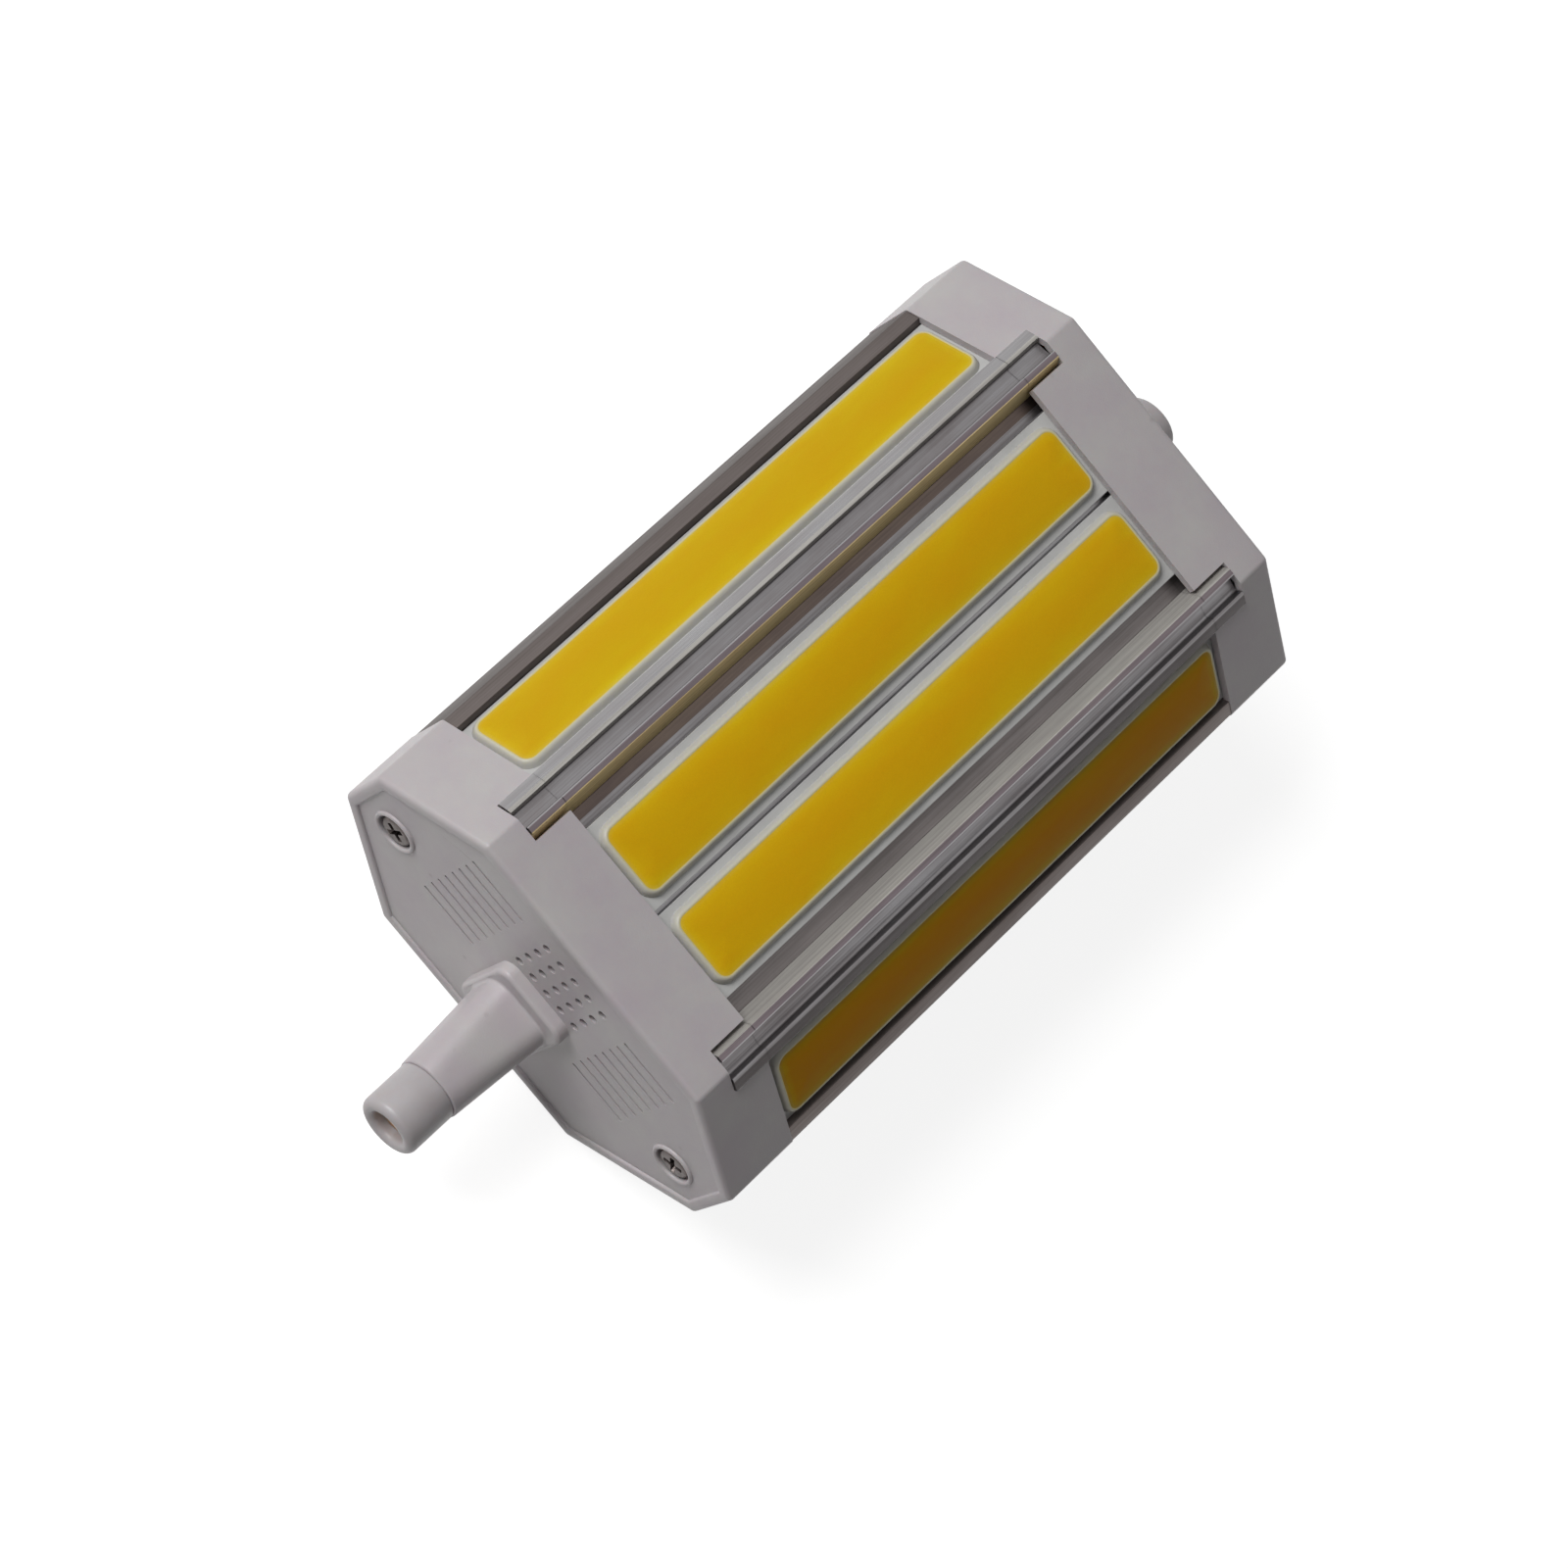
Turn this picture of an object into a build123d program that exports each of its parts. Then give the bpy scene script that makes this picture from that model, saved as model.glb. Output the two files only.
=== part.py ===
# Double-ended LED lamp for a 118 mm linear lamp holder, in millimetres.
# X runs from the front contact to the rear contact, Y across the lamp and Z up.
# The lamp stands on the flat undersides of its end caps at Z = 0. Its four LED strips lie on the
# top face and on the two upper slanted faces.
# Small round features are drawn with a few flat sides, so that the model's mesh stays light.
import os
from math import atan2, cos, degrees, hypot, radians, sin

from build123d import *

os.makedirs("parts", exist_ok=True)

# Octagonal section of the end caps, which the body follows
body_length = 88.0
section_width = 54.2
section_height = 31.6
top_width = 32.0
bottom_width = 29.2

# How the section's height is shared between its upper slants, upright sides and lower slants
upper_slant_share = 9.7
side_share = 9.1
lower_slant_share = 12.8

# End caps
cap_depth = 9.35
cap_plate = 2.4
skirt_wall = 0.9
cap_corner_radius = 1.0
cap_face_chamfer = 0.6
rim_width = 1.5
rim_height = 0.3
seat_gap = 0.1
seat_length = 4.75
stop_rib_width = 1.6
stop_rib_spread = 16.0

# Contact pins: a plinth, a tapered stem and a round insulating tip at each end
pin_drop = 0.9
front_stem_reach = 12.8
rear_stem_reach = 5.2
tip_length = 6.0
plinth_width = 9.8
plinth_height = 12.2
plinth_reach = 1.2
plinth_radius = 1.8
plinth_chamfer = 0.4
stem_root = 8.3
stem_root_radius = 2.6
stem_end = 7.2
stem_end_radius = 3.1
stem_bore = 5.0
tip_diameter = 7.0
tip_chamfer = 1.0
tip_socket = 4.0
tip_socket_depth = 1.9
spigot_length = 3.6
spigot_gap = 0.05
stud_head = 3.4
stud_head_height = 0.7
stud_shank = 1.7
stud_gap = 0.05
stud_tail = 1.2

# Air vents in the end caps: fine slots at both sides and a field of round holes over the plinth
slot_count = 8
slot_pitch = 1.9
slot_length = 7.6
slot_width = 0.7
slot_spread = 23.0
slot_rise = 7.8
hole_columns = 5
hole_rows = 4
hole_pitch_across = 2.1
hole_pitch_up = 2.4
hole_diameter = 1.1
hole_clearance = 0.85

# Cap screws, placed from the sides of the section and above the pins
screw_side_distance = 5.65
screw_rise = 4.3
screw_ring = 5.3
screw_ring_height = 0.4
screw_pocket = 4.2
screw_pocket_depth = 1.3
screw_hole = 3.2
screw_boss = 6.0
screw_head = 3.9
screw_head_height = 1.1
screw_head_chamfer = 0.3
screw_shank = 2.8
screw_length = 9.5
screw_recess_arm = 2.2
screw_recess_width = 0.65
screw_recess_depth = 0.7

# Extruded heatsink
body_inset = 0.3
bed_wall = 1.6
side_wall = 1.6
fin_wall = 1.4
fin_depth = 2.4
fin_pitch = 3.0
fin_channel = 1.6
fin_margin = 1.2
rail_foot_width = 3.3
rail_crest_width = 2.0
rail_lip = 0.9
rail_proud = 0.3
rail_outer = 2.65
rail_notch_width = 2.7
rail_notch_gap = 0.1
groove_width = 2.0
groove_depth = 1.9
ledge_width = 1.39
port_bore = 2.9
port_slit = 1.2
port_web = 2.0

# LED strips: their boards fill the slanted beds and leave a margin by the rails on the top
board_gap = 0.1
board_rail_margin = 1.95
board_end_gap = 0.4
board_thickness = 1.0
board_split = 0.5
tape_thickness = 0.15
phosphor_side_margin = 1.35
phosphor_end_margin = 5.3
phosphor_height = 0.8
phosphor_radius = 1.2
dam_width = 0.5
dam_height = 0.9
notch_width = 1.4
notch_length = 1.3

# Driver: a circuit board on ledges of an insulating sleeve inside the heatsink
sleeve_width = 23.6
sleeve_height = 20.4
sleeve_length = 66.0
sleeve_wall = 0.6
sleeve_ledge_height = 2.6
sleeve_ledge_depth = 1.2
circuit_width = 21.6
circuit_length = 62.0
circuit_thickness = 1.6

# Transformer: a double-E core standing on its bobbin, with the winding in both windows
core_place = 7.5
core_length = 13.2
core_height = 11.2
core_depth = 6.0
core_yoke = 2.5
core_leg = 2.5
core_centre_leg = 3.6
bobbin_base = 1.2
bobbin_depth = 12.0
bobbin_gap = 0.05
bobbin_wall = 0.4
bobbin_flange = 0.5
bobbin_flange_depth = 11.2
winding_depth = 9.8
winding_chamfer = 1.0

# Other components on the circuit board, placed from the middle of the body (along, across)
input_capacitor_place = (-12.0, 0.0)
input_capacitor_diameter = 10.0
input_capacitor_height = 12.8
output_capacitor_place = (20.5, -5.0)
output_capacitor_diameter = 8.0
output_capacitor_height = 12.0
capacitor_chamfer = 0.5
film_capacitor_place = (-3.2, 0.0)
film_capacitor_length = 5.0
film_capacitor_width = 12.0
film_capacitor_height = 9.5
film_capacitor_chamfer = 0.8
rectifier_place = (-18.6, 6.2)
controller_place = (19.0, 5.6)
chip_length = 4.9
chip_width = 3.9
chip_height = 1.5
chip_lift = 0.2
chip_foot_reach = 1.0
chip_foot_width = 0.45
chip_foot_height = 0.25
rectifier_feet = 2
rectifier_foot_pitch = 2.54
controller_feet = 4
controller_foot_pitch = 1.27
fuse_place = (-24.6, 5.2)
fuse_diameter = 3.2
fuse_length = 6.4
fuse_end_chamfer = 0.6
fuse_wire = 0.6
fuse_wire_reach = 1.2
fuse_wire_bend = 0.5
fuse_lift = 0.3
choke_place = (-23.4, -5.6)
choke_diameter = 7.0
choke_height = 8.0
choke_flange = 1.2
choke_winding = 6.2

# Flat sides of small round features, of thin wires and shanks, and of the round vents, and the
# flat steps of each rounded corner
round_sides = 24
wire_sides = 10
vent_sides = 8
corner_steps = 3

# Inner leads
contact_lead = 1.2
contact_lead_bend = 1.3
contact_lead_place = 28.6
contact_lead_pad = 2.6
strip_lead = 0.5
strip_lead_bend = 0.6
strip_lead_place = 29.2
strip_lead_side = 8.2
strip_lead_rise = 3.2
strip_lead_pad = 1.6
lead_clearance = 1.1
solder_height = 0.3

# Derived places along the lamp: the origin is under the middle of the whole length
half_body = body_length / 2
middle = (front_stem_reach - rear_stem_reach) / 2
heatsink_reach = half_body - cap_depth + seat_length
plate_reach = half_body - cap_plate
face_reach = half_body - rim_height
screw_seat_reach = face_reach + screw_ring_height - screw_pocket_depth

# Derived slopes of the octagonal section
share_unit = section_height / (upper_slant_share + side_share + lower_slant_share)
upper_slant_rise = upper_slant_share * share_unit
lower_slant_rise = lower_slant_share * share_unit
upper_run = (section_width - top_width) / 2
lower_run = (section_width - bottom_width) / 2
upper_angle = atan2(upper_slant_rise, upper_run)
lower_angle = atan2(lower_slant_rise, lower_run)
upper_length = hypot(upper_slant_rise, upper_run)
lower_length = hypot(lower_slant_rise, lower_run)

# Derived places across the lamp: the pins lie a little under the upper edges of the lower slants
pin_height = lower_slant_rise - pin_drop
screw_height = pin_height + screw_rise
screw_spread = section_width - 2 * screw_side_distance
slot_height = pin_height + slot_rise
hole_field = (hole_rows - 1) * hole_pitch_up + hole_diameter
hole_field_height = pin_height + plinth_height / 2 + hole_clearance + hole_field / 2
rail_foot = top_width / 2 - rail_foot_width
rail_crest = top_width / 2 - rail_crest_width
rail_notch_start = top_width / 2 - rail_notch_width
ledge_start = upper_length - ledge_width

# Derived depths under the outer surface of the caps
seat_inset = skirt_wall + seat_gap
board_inset = seat_inset + board_thickness / 2
bed_inset = seat_inset + board_thickness + tape_thickness
channel_inset = body_inset + fin_depth
floor_inset = channel_inset + fin_wall
bed_height = section_height - bed_inset
rail_height = section_height + rail_proud

# Derived levels of the driver
circuit_base = floor_inset + sleeve_wall + sleeve_ledge_height
circuit_top = circuit_base + circuit_thickness

# Derived sizes of the LED strips
board_length = 2 * (heatsink_reach - board_end_gap)
phosphor_length = board_length - 2 * phosphor_end_margin
top_board = rail_foot - board_rail_margin - board_split / 2
slant_board = ledge_start - rail_outer - 2 * board_gap
slant_centre = (rail_outer + ledge_start) / 2


def meet(first, second):
    """The point where two faces of the section meet, each given as (normal y, normal z, distance)."""
    determinant = first[0] * second[1] - first[1] * second[0]
    across = (first[2] * second[1] - first[1] * second[2]) / determinant
    up = (first[0] * second[2] - first[2] * second[0]) / determinant
    return across, up


def section(top, upper, side, lower, bottom):
    """The corners of the octagonal section, with each kind of face moved inwards by its inset."""
    upper_distance = sin(upper_angle) * top_width / 2 + cos(upper_angle) * section_height
    lower_distance = sin(lower_angle) * bottom_width / 2
    faces = [
        (0, 1, section_height - top),
        (sin(upper_angle), cos(upper_angle), upper_distance - upper),
        (1, 0, section_width / 2 - side),
        (sin(lower_angle), -cos(lower_angle), lower_distance - lower),
        (0, -1, -bottom),
    ]
    half = [meet(first, second) for first, second in zip(faces, faces[1:])]
    return half + mirrored(half)


def even_section(inset):
    """The corners of the octagonal section with all its faces moved inwards alike."""
    return section(inset, inset, inset, inset, inset)


def mirrored(points):
    """The mirror image of an outline across the middle plane, in reverse order."""
    return [(-across, up) for across, up in reversed(points)]


def on_slant(along, above):
    """A point by the upper slant: along it from the top corner, and above its outer surface."""
    across = top_width / 2 + along * cos(upper_angle) + above * sin(upper_angle)
    up = section_height - along * sin(upper_angle) + above * cos(upper_angle)
    return across, up


def rail_zone(gap):
    """The outline around a corner rail at the skirt, which passes through a notch there."""
    return [
        (rail_notch_start - gap, bed_height),
        (rail_notch_start - gap, section_height + bed_inset),
        on_slant(rail_outer + gap, bed_inset),
        on_slant(rail_outer + gap, -bed_inset),
    ]


def end_plane(end, reach):
    """A plane across the lamp that faces out of its front end (-1) or its rear end (1)."""
    return Plane(origin=(middle + end * reach, 0, 0), x_dir=(0, end, 0), z_dir=(end, 0, 0))


def outermost(items, end):
    """The face or edge that lies furthest out at an end of the lamp."""
    return items.sort_by(Axis.X)[-1 if end > 0 else 0]


def disc(diameter, sides=round_sides):
    """A small round face, drawn as a regular polygon."""
    return RegularPolygon(diameter / 2, sides)


def soft_corners(width, height, radius):
    """The outline of a rectangle with each corner rounded in a few flat steps."""
    outline = []
    for quarter, (side, level) in enumerate(((1, 1), (-1, 1), (-1, -1), (1, -1))):
        centre = (side * (width / 2 - radius), level * (height / 2 - radius))
        for step in range(corner_steps + 1):
            turn = radians(90 * (quarter + step / corner_steps))
            outline.append((centre[0] + radius * cos(turn), centre[1] + radius * sin(turn)))
    return outline


def soft_rectangle(width, height, radius, mode=Mode.ADD):
    """A rectangle with softened corners, as a face of the current sketch."""
    return Polygon(*soft_corners(width, height, radius), mode=mode)


def finish(piece, name):
    """Labels a finished piece and writes its file."""
    piece.label = name
    export_step(piece, f"parts/{name}.step")


# Heatsink: one aluminium extrusion with the LED beds, corner rails, cooling fins and screw ports
groove_start = (rail_crest + rail_lip, rail_height)
groove_run = groove_width * cos(upper_angle / 2)
groove_fall = groove_width * sin(upper_angle / 2)
groove_centre = (groove_start[0] + groove_run / 2, groove_start[1] - groove_fall / 2)
body_corners = even_section(body_inset)
heatsink_half = [
    (rail_foot, bed_height),
    (rail_crest, rail_height),
    groove_start,
    (groove_start[0] + groove_run, groove_start[1] - groove_fall),
    on_slant(rail_outer, rail_proud),
    on_slant(rail_outer, -bed_inset),
    on_slant(ledge_start, -bed_inset),
    on_slant(ledge_start, -body_inset),
    body_corners[1],
    body_corners[2],
    body_corners[3],
]
roof_inset = bed_inset + bed_wall
cavity = section(roof_inset, roof_inset, body_inset + side_wall, floor_inset, floor_inset)
bottom_channels = int((bottom_width - 2 * fin_margin - fin_channel) / fin_pitch) + 1
slant_channels = int((lower_length - 2 * fin_margin - fin_channel) / fin_pitch) + 1
port_reach = (section_width - side_wall - screw_spread) / 2 - body_inset

with BuildPart() as heatsink:
    with BuildSketch(Plane.YZ.offset(middle - heatsink_reach)):
        with BuildLine():
            Polyline(*heatsink_half, *mirrored(heatsink_half), close=True)
        make_face()
        with BuildLine():
            Polyline(*cavity, close=True)
        make_face(mode=Mode.SUBTRACT)
        with Locations((0, channel_inset / 2)):
            with GridLocations(fin_pitch, 0, bottom_channels, 1):
                Rectangle(fin_channel, channel_inset, mode=Mode.SUBTRACT)
        for side in (-1, 1):
            # Groove between the two lips of the corner rail
            groove_turn = 90 - side * degrees(upper_angle) / 2
            with Locations(Location((side * groove_centre[0], groove_centre[1]), (0, 0, groove_turn))):
                SlotOverall(2 * groove_depth, groove_width, mode=Mode.SUBTRACT)
            # Cooling channels of the lower slant
            slant_middle = (side * (section_width + bottom_width) / 4, lower_slant_rise / 2)
            with Locations(Location(slant_middle, (0, 0, side * degrees(lower_angle)))):
                with Locations((0, channel_inset / 2)):
                    with GridLocations(fin_pitch, 0, slant_channels, 1):
                        Rectangle(fin_channel, channel_inset, mode=Mode.SUBTRACT)
            # Screw port on a web from the side wall, with a slit towards the inside
            with Locations((side * screw_spread / 2, screw_height)):
                Circle(screw_boss / 2)
                with Locations((side * port_reach / 2, 0)):
                    Rectangle(port_reach, port_web)
                Circle(port_bore / 2, mode=Mode.SUBTRACT)
                with Locations((-side * screw_boss / 2, 0)):
                    Rectangle(screw_boss, port_slit, mode=Mode.SUBTRACT)
    extrude(amount=2 * heatsink_reach)
    # Both ends are milled down all round, apart from the rails, to seat the cap skirts
    for end in (-1, 1):
        with BuildSketch(end_plane(end, heatsink_reach)):
            Rectangle(2 * section_width, 4 * section_height)
            with BuildLine():
                Polyline(*even_section(seat_inset), close=True)
            make_face(mode=Mode.SUBTRACT)
            with BuildLine():
                Polyline(*rail_zone(0), close=True)
            make_face(mode=Mode.SUBTRACT)
            with BuildLine():
                Polyline(*mirrored(rail_zone(0)), close=True)
            make_face(mode=Mode.SUBTRACT)
        extrude(amount=-seat_length, mode=Mode.SUBTRACT)
finish(heatsink.part, "heatsink")


def end_cap(end, stem_reach):
    """A moulded end cap: skirted octagonal cup with vents, screw pockets, plinth and hollow stem."""
    boss_places = [(-screw_spread / 2, screw_height), (screw_spread / 2, screw_height)]
    inner_depth = plate_reach - heatsink_reach
    rib_height = floor_inset - skirt_wall
    with BuildPart() as cap:
        with BuildSketch(end_plane(end, half_body)):
            with BuildLine():
                Polyline(*even_section(0), close=True)
            make_face()
        extrude(amount=-cap_depth)
        fillet(cap.edges().filter_by(Axis.X), radius=cap_corner_radius)
        chamfer(outermost(cap.faces(), end).edges(), length=cap_face_chamfer)
        # Hollow cup inside the skirt
        with BuildSketch(end_plane(end, plate_reach)):
            with BuildLine():
                Polyline(*even_section(skirt_wall), close=True)
            make_face()
        extrude(amount=-cap_depth, mode=Mode.SUBTRACT)
        # The outer face lies a little behind its rim
        with BuildSketch(end_plane(end, half_body)):
            with BuildLine():
                Polyline(*even_section(rim_width), close=True)
            make_face()
        extrude(amount=-rim_height, mode=Mode.SUBTRACT)
        # Screw bosses that meet the screw ports inside, and stop ribs at the heatsink's floor
        with BuildSketch(end_plane(end, plate_reach)):
            with Locations(*boss_places):
                Rectangle(screw_boss, screw_boss)
            with Locations((0, skirt_wall + rib_height / 2)):
                with GridLocations(stop_rib_spread, 0, 2, 1):
                    Rectangle(stop_rib_width, rib_height)
        extrude(amount=-inner_depth)
        # Rings around the screw pockets outside
        with BuildSketch(end_plane(end, face_reach)):
            with Locations(*boss_places):
                disc(screw_ring)
        extrude(amount=screw_ring_height)
        # Plinth and tapered stem
        with BuildSketch(end_plane(end, face_reach)):
            with Locations((0, pin_height)):
                soft_rectangle(plinth_width, plinth_height, plinth_radius)
        extrude(amount=rim_height + plinth_reach)
        chamfer(outermost(cap.faces(), end).edges(), length=plinth_chamfer)
        with BuildSketch(end_plane(end, half_body + plinth_reach)):
            with Locations((0, pin_height)):
                soft_rectangle(stem_root, stem_root, stem_root_radius)
        with BuildSketch(end_plane(end, half_body + stem_reach)):
            with Locations((0, pin_height)):
                soft_rectangle(stem_end, stem_end, stem_end_radius)
        loft(ruled=True)
        # Screw pockets and holes, and the bore for the tip and its lead
        with BuildSketch(end_plane(end, face_reach + screw_ring_height)):
            with Locations(*boss_places):
                disc(screw_pocket)
        extrude(amount=-screw_pocket_depth, mode=Mode.SUBTRACT)
        with BuildSketch(end_plane(end, screw_seat_reach)):
            with Locations(*boss_places):
                disc(screw_hole)
        extrude(amount=-cap_depth, mode=Mode.SUBTRACT)
        with BuildSketch(end_plane(end, half_body + stem_reach)):
            with Locations((0, pin_height)):
                disc(stem_bore)
        extrude(amount=-(stem_reach + cap_depth), mode=Mode.SUBTRACT)
        # Air vents
        with BuildSketch(end_plane(end, face_reach)):
            with Locations((0, slot_height)):
                with GridLocations(slot_spread, slot_pitch, 2, slot_count):
                    Rectangle(slot_length, slot_width)
            with Locations((0, hole_field_height)):
                with GridLocations(hole_pitch_across, hole_pitch_up, hole_columns, hole_rows):
                    disc(hole_diameter, vent_sides)
        extrude(amount=-cap_plate, mode=Mode.SUBTRACT)
        # Notches in the skirt for the two corner rails
        with BuildSketch(end_plane(end, heatsink_reach + rail_notch_gap)):
            with BuildLine():
                Polyline(*rail_zone(rail_notch_gap), close=True)
            make_face()
            with BuildLine():
                Polyline(*mirrored(rail_zone(rail_notch_gap)), close=True)
            make_face()
        extrude(amount=-cap_depth, mode=Mode.SUBTRACT)
    return cap.part


def contact_tip(end, stem_reach):
    """The round insulating tip of a contact pin, with its spigot, socket and hole for the stud."""
    with BuildPart() as tip:
        with BuildSketch(end_plane(end, half_body + stem_reach)):
            with Locations((0, pin_height)):
                Circle(tip_diameter / 2)
        extrude(amount=tip_length)
        chamfer(outermost(tip.edges().filter_by(GeomType.CIRCLE), end), length=tip_chamfer)
        with BuildSketch(end_plane(end, half_body + stem_reach)):
            with Locations((0, pin_height)):
                disc(stem_bore - 2 * spigot_gap)
        extrude(amount=-spigot_length)
        with BuildSketch(end_plane(end, half_body + stem_reach + tip_length)):
            with Locations((0, pin_height)):
                disc(tip_socket)
        extrude(amount=-tip_socket_depth, mode=Mode.SUBTRACT)
        with BuildSketch(end_plane(end, half_body + stem_reach + tip_length)):
            with Locations((0, pin_height)):
                disc(stud_shank + 2 * stud_gap, wire_sides)
        extrude(amount=-(tip_length + spigot_length), mode=Mode.SUBTRACT)
    return tip.part


def contact_stud(end, stem_reach):
    """The metal contact: a flat head on the socket's floor and a shank through the tip."""
    floor_reach = half_body + stem_reach + tip_length - tip_socket_depth
    with BuildPart() as stud:
        with BuildSketch(end_plane(end, floor_reach)):
            with Locations((0, pin_height)):
                disc(stud_head)
        extrude(amount=stud_head_height)
        with BuildSketch(end_plane(end, floor_reach)):
            with Locations((0, pin_height)):
                disc(stud_shank, wire_sides)
        extrude(amount=-(tip_length - tip_socket_depth + spigot_length + stud_tail))
    return stud.part


def cap_screw(end, side):
    """A cross-head screw: its head in the cap's pocket and its shank in the heatsink's port."""
    place = (end * side * screw_spread / 2, screw_height)
    with BuildPart() as screw:
        with BuildSketch(end_plane(end, screw_seat_reach)):
            with Locations(place):
                disc(screw_head)
        extrude(amount=screw_head_height)
        chamfer(outermost(screw.faces(), end).edges(), length=screw_head_chamfer)
        with BuildSketch(end_plane(end, screw_seat_reach)):
            with Locations(place):
                disc(screw_shank)
        extrude(amount=-screw_length)
        with BuildSketch(end_plane(end, screw_seat_reach + screw_head_height)):
            with Locations(place):
                Rectangle(screw_recess_arm, screw_recess_width)
                Rectangle(screw_recess_width, screw_recess_arm)
        extrude(amount=-screw_recess_depth, mode=Mode.SUBTRACT)
    return screw.part


for end, end_name, stem_reach in ((-1, "front", front_stem_reach), (1, "rear", rear_stem_reach)):
    finish(end_cap(end, stem_reach), f"end_cap_{end_name}")
    finish(contact_tip(end, stem_reach), f"contact_tip_{end_name}")
    finish(contact_stud(end, stem_reach), f"contact_stud_{end_name}")
    for side, side_name in ((-1, "right"), (1, "left")):
        finish(cap_screw(end, side), f"cap_screw_{end_name}_{side_name}")


# LED strips: a board on thermal tape, a dam around the light area and the phosphor fill inside it.
# The Z axis of each bed points out of the lamp and its X axis runs along the lamp.
top_centre = (board_split + top_board) / 2
slant_bed = on_slant(slant_centre, -bed_inset)
slant_wire = on_slant(slant_centre, -board_inset)
along = (1, 0, 0)
beds = {
    "left": Plane((middle, slant_bed[0], slant_bed[1]), along, (0, sin(upper_angle), cos(upper_angle))),
    "top_left": Plane((middle, top_centre, bed_height), along, (0, 0, 1)),
    "top_right": Plane((middle, -top_centre, bed_height), along, (0, 0, 1)),
    "right": Plane((middle, -slant_bed[0], slant_bed[1]), along, (0, -sin(upper_angle), cos(upper_angle))),
}
wire_places = {
    "left": slant_wire,
    "top_left": (top_centre, section_height - board_inset),
    "top_right": (-top_centre, section_height - board_inset),
    "right": (-slant_wire[0], slant_wire[1]),
}
notch_spread = board_length - notch_length
dam_radius = phosphor_radius + dam_width

for bed_name, bed in beds.items():
    board_face = bed.offset(tape_thickness + board_thickness)
    board_width = top_board if bed_name.startswith("top") else slant_board
    phosphor_width = board_width - 2 * phosphor_side_margin

    with BuildPart() as thermal_tape:
        with BuildSketch(bed):
            Rectangle(board_length, board_width)
        extrude(amount=tape_thickness)
    finish(thermal_tape.part, f"thermal_tape_{bed_name}")

    with BuildPart() as led_board:
        with BuildSketch(bed.offset(tape_thickness)):
            Rectangle(board_length, board_width)
            with GridLocations(notch_spread, 0, 2, 1):
                Rectangle(notch_length, notch_width, mode=Mode.SUBTRACT)
        extrude(amount=board_thickness)
    finish(led_board.part, f"led_board_{bed_name}")

    with BuildPart() as dam:
        with BuildSketch(board_face):
            soft_rectangle(phosphor_length + 2 * dam_width, phosphor_width + 2 * dam_width, dam_radius)
            soft_rectangle(phosphor_length, phosphor_width, phosphor_radius, mode=Mode.SUBTRACT)
        extrude(amount=dam_height)
    finish(dam.part, f"dam_{bed_name}")

    with BuildPart() as phosphor:
        with BuildSketch(board_face):
            soft_rectangle(phosphor_length, phosphor_width, phosphor_radius)
        extrude(amount=phosphor_height)
    finish(phosphor.part, f"phosphor_{bed_name}")


# Insulating sleeve on the heatsink's floor, with ledges that carry the circuit board
ledge_spread = sleeve_width - 2 * sleeve_wall - sleeve_ledge_depth
with BuildPart() as insulating_sleeve:
    with BuildSketch(Plane.YZ.offset(middle - sleeve_length / 2)):
        with Locations((0, floor_inset + sleeve_height / 2)):
            Rectangle(sleeve_width, sleeve_height)
            Rectangle(sleeve_width - 2 * sleeve_wall, sleeve_height - 2 * sleeve_wall, mode=Mode.SUBTRACT)
        with Locations((0, floor_inset + sleeve_wall + sleeve_ledge_height / 2)):
            with GridLocations(ledge_spread, 0, 2, 1):
                Rectangle(sleeve_ledge_depth, sleeve_ledge_height)
    extrude(amount=sleeve_length)
finish(insulating_sleeve.part, "insulating_sleeve")

with BuildPart() as circuit_board:
    with BuildSketch(Plane.XY.offset(circuit_base)):
        with Locations((middle, 0)):
            Rectangle(circuit_length, circuit_width)
    extrude(amount=circuit_thickness)
finish(circuit_board.part, "circuit_board")

# Transformer
core_base = circuit_top + bobbin_base
window_height = core_height - 2 * core_yoke
window_width = (core_length - core_centre_leg) / 2 - core_leg
window_spread = core_centre_leg + window_width
window_middle = core_base + core_height / 2
spool_length = core_centre_leg + 2 * window_width - 2 * bobbin_gap
spool_bottom = core_base + core_yoke + bobbin_gap
spool_height = window_height - 2 * bobbin_gap
leg_hole = (core_centre_leg + 2 * bobbin_gap, core_depth + 2 * bobbin_gap)
tube_size = (leg_hole[0] + 2 * bobbin_wall, leg_hole[1] + 2 * bobbin_wall)

with BuildPart() as transformer_core:
    with BuildSketch(Plane.XZ.offset(-core_depth / 2)):
        with Locations((middle + core_place, window_middle)):
            Rectangle(core_length, core_height)
            with GridLocations(window_spread, 0, 2, 1):
                Rectangle(window_width, window_height, mode=Mode.SUBTRACT)
    extrude(amount=core_depth)
finish(transformer_core.part, "transformer_core")

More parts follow.
